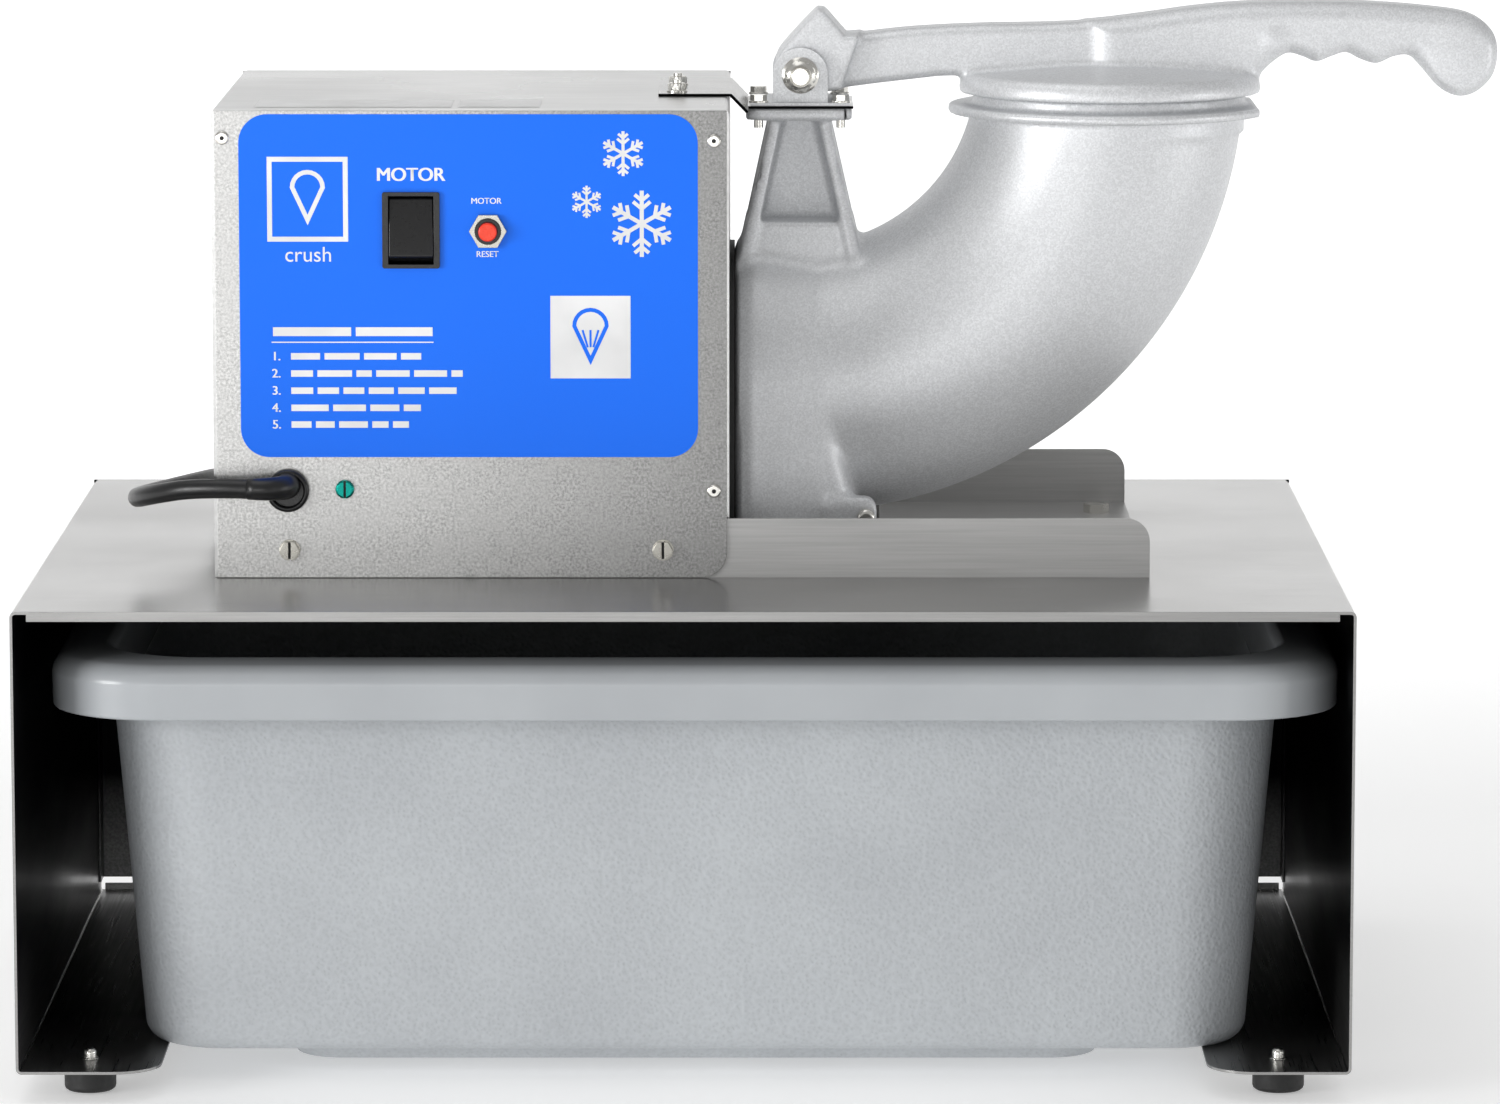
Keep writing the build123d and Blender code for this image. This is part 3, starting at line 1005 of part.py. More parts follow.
# ---- output -------------------------------------------------------------------------------------
SUBPARTS = [
    cabinet_shell, cabinet_back_panel, rubber_feet, foot_screws, machine_tray, tray_bolts,
    motor_case_wrap, front_panel, rear_panel, rear_panel_screws, control_label, panel_rivets,
    panel_screws, ground_screw, switch_housing, rocker, reset_breaker, reset_nut, reset_button,
    hopper_casting, head_gasket, head_bolts, hopper_foot, lug_screws,
    hinge_strap, hinge_bracket, bracket_screws, strap_bolts, strap_nuts, hinge_bolt, hinge_nut,
    lever_casting, hinge_bushing, pusher_arm, pusher_plate, pusher_screws,
    motor_shell, motor_stator, stator_windings, motor_front_bell, motor_rear_bell, motor_bearings,
    motor_cradle, start_capacitor, capacitor_bracket, motor_shaft, rotor_core, cooling_fan, shaft_seal,
    cutter_disc, cutter_blades, blade_screws, disc_nut, ice_tub,
    cord_bushing, cord_run, cord_coil, cord_tie, power_plug, plug_blades,
]

os.makedirs("parts", exist_ok=True)
for make in SUBPARTS:
    write(make.__name__, make())
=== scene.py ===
"""Looks of the shaved ice machine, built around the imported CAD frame. Metres, +Z up, front towards -Y."""

import json
import math

import bmesh
import bpy
import numpy as np
from mathutils import Matrix, Vector

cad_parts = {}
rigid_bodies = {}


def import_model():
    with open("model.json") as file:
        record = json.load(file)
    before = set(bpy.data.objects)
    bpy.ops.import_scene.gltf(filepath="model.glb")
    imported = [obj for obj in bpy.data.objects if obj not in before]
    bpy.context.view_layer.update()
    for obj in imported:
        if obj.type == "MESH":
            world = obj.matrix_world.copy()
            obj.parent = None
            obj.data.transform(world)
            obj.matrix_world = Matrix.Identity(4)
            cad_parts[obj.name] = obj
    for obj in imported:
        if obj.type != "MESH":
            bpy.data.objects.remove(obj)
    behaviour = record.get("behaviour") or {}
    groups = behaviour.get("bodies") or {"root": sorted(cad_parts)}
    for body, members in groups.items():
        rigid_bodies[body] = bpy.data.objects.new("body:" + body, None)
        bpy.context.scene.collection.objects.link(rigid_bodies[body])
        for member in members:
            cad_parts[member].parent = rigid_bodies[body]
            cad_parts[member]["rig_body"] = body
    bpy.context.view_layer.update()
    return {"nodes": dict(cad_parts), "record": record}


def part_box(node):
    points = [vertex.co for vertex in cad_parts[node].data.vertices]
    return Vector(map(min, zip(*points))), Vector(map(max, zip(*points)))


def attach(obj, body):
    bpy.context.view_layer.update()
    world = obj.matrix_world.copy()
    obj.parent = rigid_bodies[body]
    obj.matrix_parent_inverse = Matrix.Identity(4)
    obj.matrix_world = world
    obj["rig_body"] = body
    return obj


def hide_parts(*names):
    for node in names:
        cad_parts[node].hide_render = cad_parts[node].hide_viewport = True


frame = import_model()
NODES = frame["nodes"]
MM = 0.001
scene = bpy.context.scene


def placed(name, data):
    """A new object in the scene."""
    obj = bpy.data.objects.new(name, data)
    scene.collection.objects.link(obj)
    return obj


# ---- places taken from the frame ----
def mid(node):
    """Middle of a CAD node's box."""
    low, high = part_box(node)
    return (low + high) / 2


AXIS_Y, AXIS_Z = mid("motor_shaft").y, mid("motor_shaft").z
PIVOT = Vector((mid("hinge_bushing").x, AXIS_Y, mid("hinge_bushing").z))
ELBOW_R = PIVOT.z - AXIS_Z
MOUTH_X = PIVOT.x + ELBOW_R
PANEL_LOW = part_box("front_panel")[0]
LABEL_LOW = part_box("control_label")[0]
CAST_LOW, CAST_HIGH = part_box("hopper_casting")
LEVER_LOW, LEVER_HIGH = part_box("lever_casting")
TUB_LOW, TUB_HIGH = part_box("ice_tub")
CORD_D = 8.5 * MM


# ---- camera and light ----
CAMERA_AT = (0.0317, -3.3444, 0.6913)
LENS_MM, SENSOR_MM, SHIFT_X, DOWN_TILT = 182.8, 36, -0.006, 8.284


def camera():
    """A long lens straight on, a little above the machine."""
    data = bpy.data.cameras.new("camera")
    data.sensor_width = SENSOR_MM
    data.lens = LENS_MM
    data.shift_x = SHIFT_X
    data.clip_end = 50
    obj = placed("camera", data)
    obj.location = CAMERA_AT
    obj.rotation_euler = (math.radians(90 - DOWN_TILT), 0, 0)
    scene.camera = obj


def area_light(name, place, target, size, power):
    """A rectangular soft light aimed at a point."""
    data = bpy.data.lights.new(name, "AREA")
    data.shape = "RECTANGLE"
    data.size, data.size_y = size
    data.energy = power
    obj = placed(name, data)
    obj.location = place
    obj.rotation_euler = (Vector(target) - Vector(place)).to_track_quat("-Z", "Y").to_euler()


def lights():
    """Soft boxes above and to both sides, with a dim pale surround."""
    area_light("key_top", (-0.5, -0.2, 2.3), (0, 0.1, 0.2), (2.2, 1.4), 9)
    area_light("soft_left", (-3.0, -2.1, 0.6), (0, 0, 0.15), (1.3, 1.2), 60)
    area_light("soft_right", (2.1, -3.0, 0.75), (0.1, 0, 0.2), (0.7, 1.2), 3)
    area_light("low_right", (2.3, -0.7, 0.35), (0.25, 0, 0.3), (0.9, 0.6), 6)
    area_light("front_low", (-0.9, -3.8, 0.32), (0, 0, 0.25), (2.2, 0.5), 13)
    area_light("backdrop", (0, 5.7, 2.8), (0, 7.4, 0.5), (5.0, 1.0), 10)
    world = bpy.data.worlds.new("studio")
    world.use_nodes = True
    background = world.node_tree.nodes["Background"]
    background.inputs["Color"].default_value = (1, 1, 1, 1)
    background.inputs["Strength"].default_value = 0.40
    scene.world = world
    scene.view_settings.view_transform = "Standard"


# ---- material helpers ----
class Shader:
    """A Principled material with short calls for the nodes that drive it."""

    def __init__(self, name, colour, metallic=0.0, roughness=0.5):
        self.material = bpy.data.materials.new(name)
        self.material.use_nodes = True
        self.tree = self.material.node_tree
        self.surface = self.tree.nodes["Principled BSDF"]
        self.set("Base Color", (*colour, 1))
        self.set("Metallic", metallic)
        self.set("Roughness", roughness)

    def set(self, socket, value):
        self.surface.inputs[socket].default_value = value

    def node(self, kind, **inputs):
        made = self.tree.nodes.new("ShaderNode" + kind)
        for key, value in inputs.items():
            made.inputs[key.replace("_", " ").title()].default_value = value
        return made

    def link(self, source, target):
        """Feeds a socket with another node's output, a number or a colour."""
        if isinstance(source, (int, float)):
            target.default_value = source
        elif isinstance(source, tuple):
            target.default_value = (*source, 1)
        else:
            self.tree.links.new(source, target)

    def place(self, scale=(1, 1, 1)):
        """Object coordinates, stretched."""
        mapping = self.node("Mapping", Scale=scale)
        self.link(self.node("TexCoord").outputs["Object"], mapping.inputs["Vector"])
        return mapping.outputs["Vector"]

    def noise(self, scale, detail=3.0, stretch=(1, 1, 1), rough=0.5):
        made = self.node("TexNoise", Scale=scale, Detail=detail, Roughness=rough)
        self.link(self.place(stretch), made.inputs["Vector"])
        return made.outputs["Fac"]

    def cells(self, scale, feature="F1", output="Distance"):
        made = self.node("TexVoronoi", Scale=scale)
        made.feature = feature
        self.link(self.place(), made.inputs["Vector"])
        return made.outputs[output]

    def along(self, axis, low, high):
        """0 to 1 between two positions on an axis, in metres."""
        split = self.node("SeparateXYZ")
        self.link(self.node("TexCoord").outputs["Object"], split.inputs[0])
        made = self.node("MapRange", From_Min=low, From_Max=high)
        self.link(split.outputs[axis], made.inputs["Value"])
        return made.outputs["Result"]

    def ramp(self, source, stops):
        """A colour or grey ramp: stops are (place, value or colour)."""
        made = self.node("ValToRGB")
        elements = made.color_ramp.elements
        while len(elements) < len(stops):
            elements.new(0.5)
        for element, (place, value) in zip(elements, stops):
            element.position = place
            colour = value if hasattr(value, "__len__") else (value, value, value)
            element.color = (*colour, 1)
        self.link(source, made.inputs["Fac"])
        return made.outputs["Color"]

    def fade(self, source, low=0.3, high=0.7, first=0.0, second=1.0):
        """From first to second while the source goes from low to high."""
        return self.ramp(source, [(low, first), (high, second)])

    def maths(self, operation, first, second):
        made = self.node("Math")
        made.operation = operation
        self.link(first, made.inputs[0])
        self.link(second, made.inputs[1])
        return made.outputs[0]

    def mix(self, factor, first, second, mode="MIX"):
        made = self.node("Mix")
        made.data_type = "RGBA"
        made.blend_type = mode
        for number, value in ((0, factor), (6, first), (7, second)):
            self.link(value, made.inputs[number])
        return made.outputs[2]

    def tones(self, share, first, second, mode="MIX"):
        """Base colour mixed from two."""
        self.link(self.mix(share, first, second, mode), self.surface.inputs["Base Color"])

    def rough(self, source, first, second, low=0.3, high=0.7):
        """Roughness from first to second while the source goes from low to high."""
        self.link(self.fade(source, low, high, first, second), self.surface.inputs["Roughness"])

    def bump(self, *layers):
        """Layers of (height source, depth in mm)."""
        last = None
        for source, depth in layers:
            made = self.node("Bump", Strength=1.0, Distance=depth * MM)
            self.link(source, made.inputs["Height"])
            if last:
                self.link(last, made.inputs["Normal"])
            last = made.outputs["Normal"]
        self.link(last, self.surface.inputs["Normal"])


# ---- materials ----
def tint(colour, share):
    """A colour made darker or lighter."""
    return tuple(min(1.0, c * share) for c in colour)


def brushed(name, colour, roughness, grain, depth=0.004, metallic=1.0):
    """Brushed sheet: fine lines along one direction and faint smears."""
    shader = Shader(name, colour, metallic, roughness)
    lines = shader.noise(900, 2.0, grain)
    broad = shader.noise(9)
    shader.tones(shader.fade(lines), tint(colour, 0.86), colour)
    shader.rough(broad, roughness * 0.82, roughness * 1.2)
    shader.bump((lines, depth))
    return shader.material


def galvanised(name, colour, roughness):
    """Zinc-coated sheet: fine bright and dark mottling, and a painted shade that darkens it from left to
    right across the front panel's width.
    """
    shader = Shader(name, colour, 0.85, roughness)
    grain = shader.noise(850, 4.0, rough=0.7)
    mottle = shader.noise(95, 5.0, rough=0.7)
    light = tint(colour, 1.16)
    base = shader.mix(shader.fade(grain, 0.38, 0.62), tint(colour, 0.62), light)
    base = shader.mix(shader.fade(mottle, 0.42, 0.58, 0.0, 0.4), base, light)
    low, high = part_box("front_panel")
    # Painted shade: the colour falls from full at the front panel's left end to half at its right, standing
    # in for the left lamp's falloff.
    drift = shader.ramp(shader.along("X", low.x, high.x), [(0.0, 1.0), (0.35, 0.88), (1.0, 0.50)])
    shader.tones(1.0, base, drift, "MULTIPLY")
    shader.rough(mottle, roughness * 0.85, roughness * 1.2)
    shader.bump((grain, 0.010), (mottle, 0.016))
    return shader.material


def cast(name, colour, roughness=0.44):
    """Sand casting under silver paint: orange peel, sparkle and a few pits."""
    shader = Shader(name, colour, 0.36, roughness)
    peel = shader.noise(420, rough=0.6)
    sparkle = shader.cells(1500, output="Color")
    waves = shader.noise(26, 2.0)
    pits = shader.cells(60)
    shader.tones(shader.fade(sparkle, 0.25, 0.9), tint(colour, 0.90), tint(colour, 1.10))
    shader.rough(peel, roughness * 0.92, roughness * 1.1)
    shader.bump((peel, 0.022), (waves, 0.07), (shader.fade(pits, 0.0, 0.05), 0.05))
    return shader.material


def painted_bay_shade(name):
    """Brushed sheet inside the cabinet with the bay's shade painted in: near black, and a painted paler
    reflection near its floor.
    """
    # Painted shade: the walls, roof and back inside the bay are coloured near black.
    shader = Shader(name, (0.02, 0.02, 0.02), 1.0, 0.34)
    lines = shader.noise(900, 2.0, (1, 0.02, 1))
    smear = shader.noise(22, 3.0, (1, 0.3, 1))
    # Painted reflection: a paler brushed tone low on the walls, fading out by about 75 mm up.
    pale = shader.mix(shader.fade(lines), (0.20, 0.20, 0.20), (0.34, 0.34, 0.335))
    rise = shader.mix(0.12, shader.along("Z", 0.008, 0.075), smear)
    shader.tones(shader.fade(rise, 0.05, 0.85), pale, (0.003, 0.003, 0.0033))
    shader.rough(smear, 0.28, 0.40)
    shader.bump((lines, 0.003))
    return shader.material


def plated(name, colour, roughness=0.20):
    """Zinc or nickel plated fastener."""
    shader = Shader(name, colour, 1.0, roughness)
    wear = shader.noise(420, rough=0.6)
    shader.tones(shader.fade(wear), tint(colour, 0.90), colour)
    shader.rough(wear, roughness * 0.85, roughness * 1.25, 0.2, 0.8)
    shader.bump((wear, 0.002))
    return shader.material


def plastic(name, colour, roughness, grain_scale, grain_depth, coat=0.0):
    """Moulded plastic or rubber with a fine grain."""
    shader = Shader(name, colour, 0.0, roughness)
    shader.set("Coat Weight", coat)
    grain = shader.noise(grain_scale)
    broad = shader.noise(30)
    shader.tones(shader.fade(broad, 0.35, 0.65), tint(colour, 0.86), colour)
    shader.rough(grain, roughness * 0.88, roughness * 1.15)
    shader.bump((grain, grain_depth))
    return shader.material


def tub_plastic(name):
    """Grey tub: stippled body and a smooth, glossier rim, painted a little darker as painted shade from the
    cabinet's top above it.
    """
    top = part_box("ice_tub")[1].z
    shader = Shader(name, (0.50, 0.52, 0.54), 0.0, 0.42)
    stipple = shader.cells(560, "SMOOTH_F1")
    fine = shader.noise(900)
    broad = shader.noise(14, 4.0)
    on_rim = shader.along("Z", top - 26.4 * MM, top - 25.4 * MM)
    base = shader.mix(shader.fade(broad), (0.435, 0.455, 0.475), (0.485, 0.508, 0.527))
    speck = shader.mix(shader.fade(stipple, 0.15, 0.65), (0.93, 0.93, 0.93), (1.02, 1.02, 1.02))
    # Painted shade: the rim's colour is taken down to 0.91 of the body's.
    tone = shader.mix(on_rim, speck, (0.91, 0.91, 0.91))
    shader.tones(1.0, base, tone, "MULTIPLY")
    body_rough = shader.fade(fine, 0.3, 0.7, 0.44, 0.56)
    shader.link(shader.mix(on_rim, body_rough, (0.24, 0.24, 0.24)), shader.surface.inputs["Roughness"])
    keep = shader.maths("SUBTRACT", 1.0, on_rim)
    shader.bump((shader.maths("MULTIPLY", stipple, keep), 0.34), (shader.maths("MULTIPLY", fine, keep), 0.08))
    return shader.material


def label_film(name):
    """Satin printed film: even blue with a very fine texture."""
    shader = Shader(name, (0.004, 0.17, 1.0), 0.0, 0.38)
    shader.set("Specular IOR Level", 0.25)
    grain = shader.noise(1500, 2.0)
    drift = shader.noise(6, 2.0)
    shader.tones(shader.fade(drift), (0.003, 0.165, 0.97), (0.005, 0.175, 1.0))
    shader.rough(grain, 0.34, 0.44)
    shader.bump((grain, 0.004))
    return shader.material


def bay_floor(name):
    """The bottom flanges: brushed, with painted light that keeps them pale at the front edge and painted
    shade that makes them near black further in.
    """
    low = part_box("cabinet_shell")[0]
    shader = Shader(name, (0.3, 0.3, 0.3), 1.0, 0.30)
    # Painted light and shade: pale at the flanges' front edge, near black by 12 cm in.
    depth = shader.along("Y", low.y, low.y + 0.12)
    lines = shader.noise(900, 2.0, (1, 0.02, 1))
    pale = shader.mix(shader.fade(lines), (0.34, 0.34, 0.34), (0.44, 0.44, 0.435))
    shader.tones(shader.fade(depth, 0.1, 1.0), pale, (0.014, 0.014, 0.015))
    shader.rough(lines, 0.26, 0.36)
    shader.bump((lines, 0.003))
    return shader.material


def winding(name):
    """Varnished copper wire turns."""
    shader = Shader(name, (0.72, 0.28, 0.10), 0.9, 0.35)
    turns = shader.noise(260, 1.0, (1, 0.15, 0.15))
    shader.tones(shader.fade(turns, 0.35, 0.65), (0.35, 0.11, 0.04), (0.80, 0.36, 0.15))
    shader.bump((turns, 0.2))
    return shader.material


def floor_material(name):
    """Plain pale floor that glows as painted light: faintly where the machine stands, brighter further back,
    faint again at the top of the curve.
    """
    shader = Shader(name, (0.93, 0.93, 0.93), 0.0, 0.55)
    drift = shader.noise(3, 2.0)
    shader.rough(drift, 0.5, 0.6)
    shader.set("Emission Color", (1, 1, 1, 1))
    # Painted light: emission strength 0.32 in front, 0.75 further back, 0.26 at the top of the backdrop.
    glow = shader.ramp(shader.along("Y", 0.5, 7.6), [(0.0, 0.32), (0.21, 0.75), (0.79, 0.75), (1.0, 0.26)])
    shader.link(glow, shader.surface.inputs["Emission Strength"])
    return shader.material


# One for each slot of the record, and a few for parts of a piece: what makes it, its name, its values.
LOOKS = [
    (brushed, "stainless", (0.40, 0.397, 0.39), 0.22, (0.02, 1, 1)),
    # Painted light: a paler, half-metallic copy of the stainless, so the tray reads lighter than its shade.
    (brushed, "tray_steel", (0.46, 0.457, 0.45), 0.34, (0.02, 1, 1), 0.004, 0.5),
    (painted_bay_shade, "stainless_dark"),
    (bay_floor, "stainless_floor"),
    (brushed, "wrap_steel", (0.61, 0.61, 0.605), 0.28, (0.03, 0.6, 0.6), 0.002),
    (galvanised, "galvanised", (0.61, 0.607, 0.597), 0.36),
    (cast, "cast_alloy", (0.76, 0.77, 0.785)),
    (plated, "zinc_fastener", (0.80, 0.785, 0.74)),
    (plated, "zinc_dull", (0.50, 0.485, 0.44), 0.27),
    (plastic, "black_rubber", (0.012, 0.012, 0.012), 0.55, 500, 0.03),
    (plastic, "black_plastic", (0.006, 0.006, 0.0065), 0.30, 900, 0.003),
    (plastic, "cord_black", (0.009, 0.009, 0.0095), 0.34, 420, 0.012),
    (label_film, "label_blue"),
    (plastic, "label_white", (0.92, 0.92, 0.92), 0.45, 900, 0.004),
    (plastic, "reset_red", (0.95, 0.045, 0.008), 0.28, 500, 0.01),
    (plated, "ground_green", (0.012, 0.30, 0.25), 0.26),
    (tub_plastic, "tub_grey"),
    (plated, "bronze", (0.60, 0.38, 0.16), 0.30),
    (winding, "copper_wire"),
    (plastic, "motor_paint", (0.02, 0.02, 0.022), 0.35, 180, 0.04, 0.3),
    (brushed, "core_steel", (0.24, 0.24, 0.25), 0.42, (1, 0.02, 0.02), 0.02),
    (brushed, "machined_steel", (0.55, 0.55, 0.55), 0.22, (1, 0.05, 0.05)),
    (brushed, "blade_steel", (0.70, 0.71, 0.73), 0.16, (0.05, 1, 1)),
    (plastic, "fan_plastic", (0.72, 0.70, 0.64), 0.45, 400, 0.02),
    (plastic, "capacitor_can", (0.014, 0.014, 0.015), 0.40, 300, 0.02),
]

camera()
lights()
MATERIALS = {name: make(name, *values) for make, name, *values in LOOKS}


# ---- mesh helpers ----
def piece(name, mesh, body, slot, replaces=(), material=None):
    """A mesh as a piece: it rides on a body, takes a slot and stands for CAD nodes."""
    mesh.name = name
    obj = placed(name, mesh)
    mesh.materials.clear()
    mesh.materials.append(MATERIALS[material or slot])
    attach(obj, body)
    if replaces:
        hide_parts(*replaces)
    return obj


def mesh_from(bm):
    """A bmesh as mesh data, shaded smooth."""
    for face in bm.faces:
        face.smooth = True
    mesh = bpy.data.meshes.new("mesh")
    bm.to_mesh(mesh)
    bm.free()
    return mesh


def flat_normals(obj):
    """Keeps large flat faces flat beside rounded edges."""
    modifier = obj.modifiers.new("flat_faces", "WEIGHTED_NORMAL")
    modifier.keep_sharp = True


BEND_ANGLE, FLAT_ANGLE, WELD = math.radians(32), math.radians(0.6), 2e-6


def softened(node, width, material=None):
    """A CAD node with its sharp edges rounded by width mm."""
    bm = bmesh.new()
    bm.from_mesh(NODES[node].data)
    bmesh.ops.remove_doubles(bm, verts=bm.verts, dist=WELD)
    bmesh.ops.dissolve_limit(bm, angle_limit=FLAT_ANGLE, verts=bm.verts, edges=bm.edges)
    sharp = [e for e in bm.edges if len(e.link_faces) == 2 and e.calc_face_angle(0) > BEND_ANGLE]
    bmesh.ops.bevel(bm, geom=sharp, offset=width * MM, segments=2, profile=0.6, affect="EDGES",
                    clamp_overlap=True)
    slot = slot_of(node)
    obj = piece(node + "_skin", mesh_from(bm), NODES[node]["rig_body"], slot, (node,), material)
    flat_normals(obj)
    return obj


def slot_of(node):
    """The record's material slot of a node."""
    return next(s["material_slot"] for s in frame["record"]["subparts"] if s["node"] == node)


def grid_mesh(field, low, high, step):
    """Surface nets: a closed quad mesh where field(x, y, z) is zero, with its points moved on to it."""
    axes = [np.arange(a - 2 * step, b + 3 * step, step) for a, b in zip(low, high)]
    x, y, z = np.meshgrid(*axes, indexing="ij")
    value = field(x, y, z)
    inside = value < 0
    corner_in = sum(inside[i:x.shape[0] - 1 + i, j:x.shape[1] - 1 + j, k:x.shape[2] - 1 + k].astype(np.int8)
                    for i in (0, 1) for j in (0, 1) for k in (0, 1))
    active = (corner_in > 0) & (corner_in < 8)
    number = -np.ones(active.shape, np.int64)
    cells = np.argwhere(active)
    number[active] = np.arange(len(cells))
    total = np.zeros((len(cells), 3))
    count = np.zeros(len(cells))
    a, b, c = cells.T
    for axis in range(3):
        for u in (0, 1):
            for v in (0, 1):
                start = np.zeros(3, int)
                start[(axis + 1) % 3], start[(axis + 2) % 3] = u, v
                end = start.copy()
                end[axis] = 1
                first = value[a + start[0], b + start[1], c + start[2]]
                second = value[a + end[0], b + end[1], c + end[2]]
                crossed = (first < 0) != (second < 0)
                share = np.where(crossed, first / np.where(crossed, first - second, 1), 0)
                spot = np.tile(start.astype(float), (len(cells), 1))
                spot[:, axis] = share
                total += spot * crossed[:, None]
                count += crossed
    points = np.array([ax[0] for ax in axes]) + (cells + total / count[:, None]) * step
    quads = []
    for axis in range(3):
        n1, n2 = (axis + 1) % 3, (axis + 2) % 3
        size = list(value.shape)
        size[axis] -= 1
        cut = [slice(0, s) for s in size]
        ahead = list(cut)
        ahead[axis] = slice(1, size[axis] + 1)
        change = inside[tuple(cut)] != inside[tuple(ahead)]
        where = np.argwhere(change)
        keep = np.ones(len(where), bool)
        for n in (n1, n2):
            keep &= (where[:, n] > 0) & (where[:, n] < value.shape[n] - 1)
        where = where[keep]
        ring = []
        for d1, d2 in ((0, 0), (-1, 0), (-1, -1), (0, -1)):
            cell = where.copy()
            cell[:, n1] += d1
            cell[:, n2] += d2
            ring.append(number[cell[:, 0], cell[:, 1], cell[:, 2]])
        ring = np.stack(ring, 1)
        flip = ~inside[where[:, 0], where[:, 1], where[:, 2]]
        ring[flip] = ring[flip][:, ::-1]
        quads.append(ring)
    quads = np.concatenate(quads)
    delta = 0.05 * step
    for _ in range(3):
        here = field(*points.T)
        slope = np.stack([(field(*(points + delta * np.eye(3)[i]).T) - here) / delta for i in range(3)], 1)
        move = -(here / np.maximum((slope ** 2).sum(1), 0.05))[:, None] * slope
        points += np.clip(move, -0.5 * step, 0.5 * step)
    return points, quads


def mesh_of(points, quads):
    """Points in mm and quads as a smooth mesh in metres."""
    mesh = bpy.data.meshes.new("mesh")
    mesh.from_pydata((points * MM).tolist(), [], quads.tolist())
    mesh.validate()
    mesh.shade_smooth()
    return mesh


# Distance fields, in mm: negative inside.
def smooth_union(a, b, k):
    h = np.clip(0.5 + 0.5 * (b - a) / k, 0, 1)
    return b + (a - b) * h - k * h * (1 - h)


def smooth_cut(a, b, k):
    """a with b taken away, the new edge rounded."""
    return -smooth_union(-a, b, k)


def slab(distance2d, along, half, round_r):
    """A flat outline's distance, made solid to half either side, edges rounded."""
    dx = distance2d + round_r
    dy = np.abs(along) - half + round_r
    return np.minimum(np.maximum(dx, dy), 0) + np.hypot(np.maximum(dx, 0), np.maximum(dy, 0)) - round_r


def rect(u, v, u0, u1, v0, v1, r=0.0):
    """Distance to a rounded rectangle."""
    du = np.abs(u - (u0 + u1) / 2) - (u1 - u0) / 2 + r
    dv = np.abs(v - (v0 + v1) / 2) - (v1 - v0) / 2 + r
    return np.minimum(np.maximum(du, dv), 0) + np.hypot(np.maximum(du, 0), np.maximum(dv, 0)) - r


def outline_distance(points, u, v):
    """Signed distance to a closed polygon."""
    best = np.full(u.shape, 1e9)
    inside = np.zeros(u.shape, bool)
    for (x0, y0), (x1, y1) in zip(points, np.roll(points, -1, 0)):
        ex, ey = x1 - x0, y1 - y0
        wx, wy = u - x0, v - y0
        t = np.clip((wx * ex + wy * ey) / (ex * ex + ey * ey), 0, 1)
        best = np.minimum(best, (wx - ex * t) ** 2 + (wy - ey * t) ** 2)
        cross = (y0 > v) != (y1 > v)
        reach = ex * (v - y0) / (ey if abs(ey) > 1e-9 else 1e-9) + x0
        inside ^= cross & (u < reach)
    return np.where(inside, -1, 1) * np.sqrt(best)


def curve_points(controls, per_span):
    """Catmull-Rom points through a few controls."""
    controls = np.array(controls, float)
    last = len(controls) - 1
    out = []
    for i in range(last):
        p0, p1, p2, p3 = controls[[min(max(i + d, 0), last) for d in (-1, 0, 1, 2)]]
        for t in np.linspace(0, 1, per_span, endpoint=False):
            out.append(0.5 * (2 * p1 + (p2 - p0) * t + (2 * p0 - 5 * p1 + 4 * p2 - p3) * t ** 2
                              + (3 * p1 - p0 - 3 * p2 + p3) * t ** 3))
    return np.array(out)


def table_lookup(points, step=0.5, margin=12):
    """A polygon's distance sampled once on a fine flat grid, then read back between its points."""
    low, high = points.min(0), points.max(0)
    us, vs = (np.arange(a - margin, b + margin, step) for a, b in zip(low, high))
    flat = outline_distance(points, *np.meshgrid(us, vs, indexing="ij"))

    def read(u, v):
        fu = np.clip((u - us[0]) / step, 0, len(us) - 1.001)
        fv = np.clip((v - vs[0]) / step, 0, len(vs) - 1.001)
        iu, iv = fu.astype(int), fv.astype(int)
        tu, tv = fu - iu, fv - iv
        return (flat[iu, iv] * (1 - tu) * (1 - tv) + flat[iu + 1, iv] * tu * (1 - tv)
                + flat[iu, iv + 1] * (1 - tu) * tv + flat[iu + 1, iv + 1] * tu * tv)
    return read


# ---- supply cord ----
BOOT_TIP = (-186.18, -124.34, 249.6)
ROUTE = [
    BOOT_TIP, (-208.8, -119.5, 249.6), (-228.4, -104.4, 244.6), (-238.4, -80.6, 239.6),
    (-236.9, -53.7, 237.3), (-225.3, -26.0, 237.0), (-214.8, 4.2, 236.0), (-210.0, 38.0, 233.0),
    (-210.0, 74.0, 225.5), (-211.0, 110.0, 219.0), (-211.0, 145.0, 218.0), (-209.0, 176.5, 224.5),
    (-206.5, 206.5, 225.0), (-204.5, 231.0, 208.0), (-203.0, 243.5, 180.0), (-201.5, 247.5, 148.0),
    (-200.0, 247.5, 114.0), (-198.0, 248.5, 83.0), (-196.5, 252.5, 54.0), (-195.3, 263.0, 29.0),
    (-194.6, 282.0, 11.0),
]


def ease(value, start, end):
    """0 before start, 1 after end, smooth between."""
    share = min(max((value - start) / (end - start), 0.0), 1.0)
    return share * share * (3 - 2 * share)


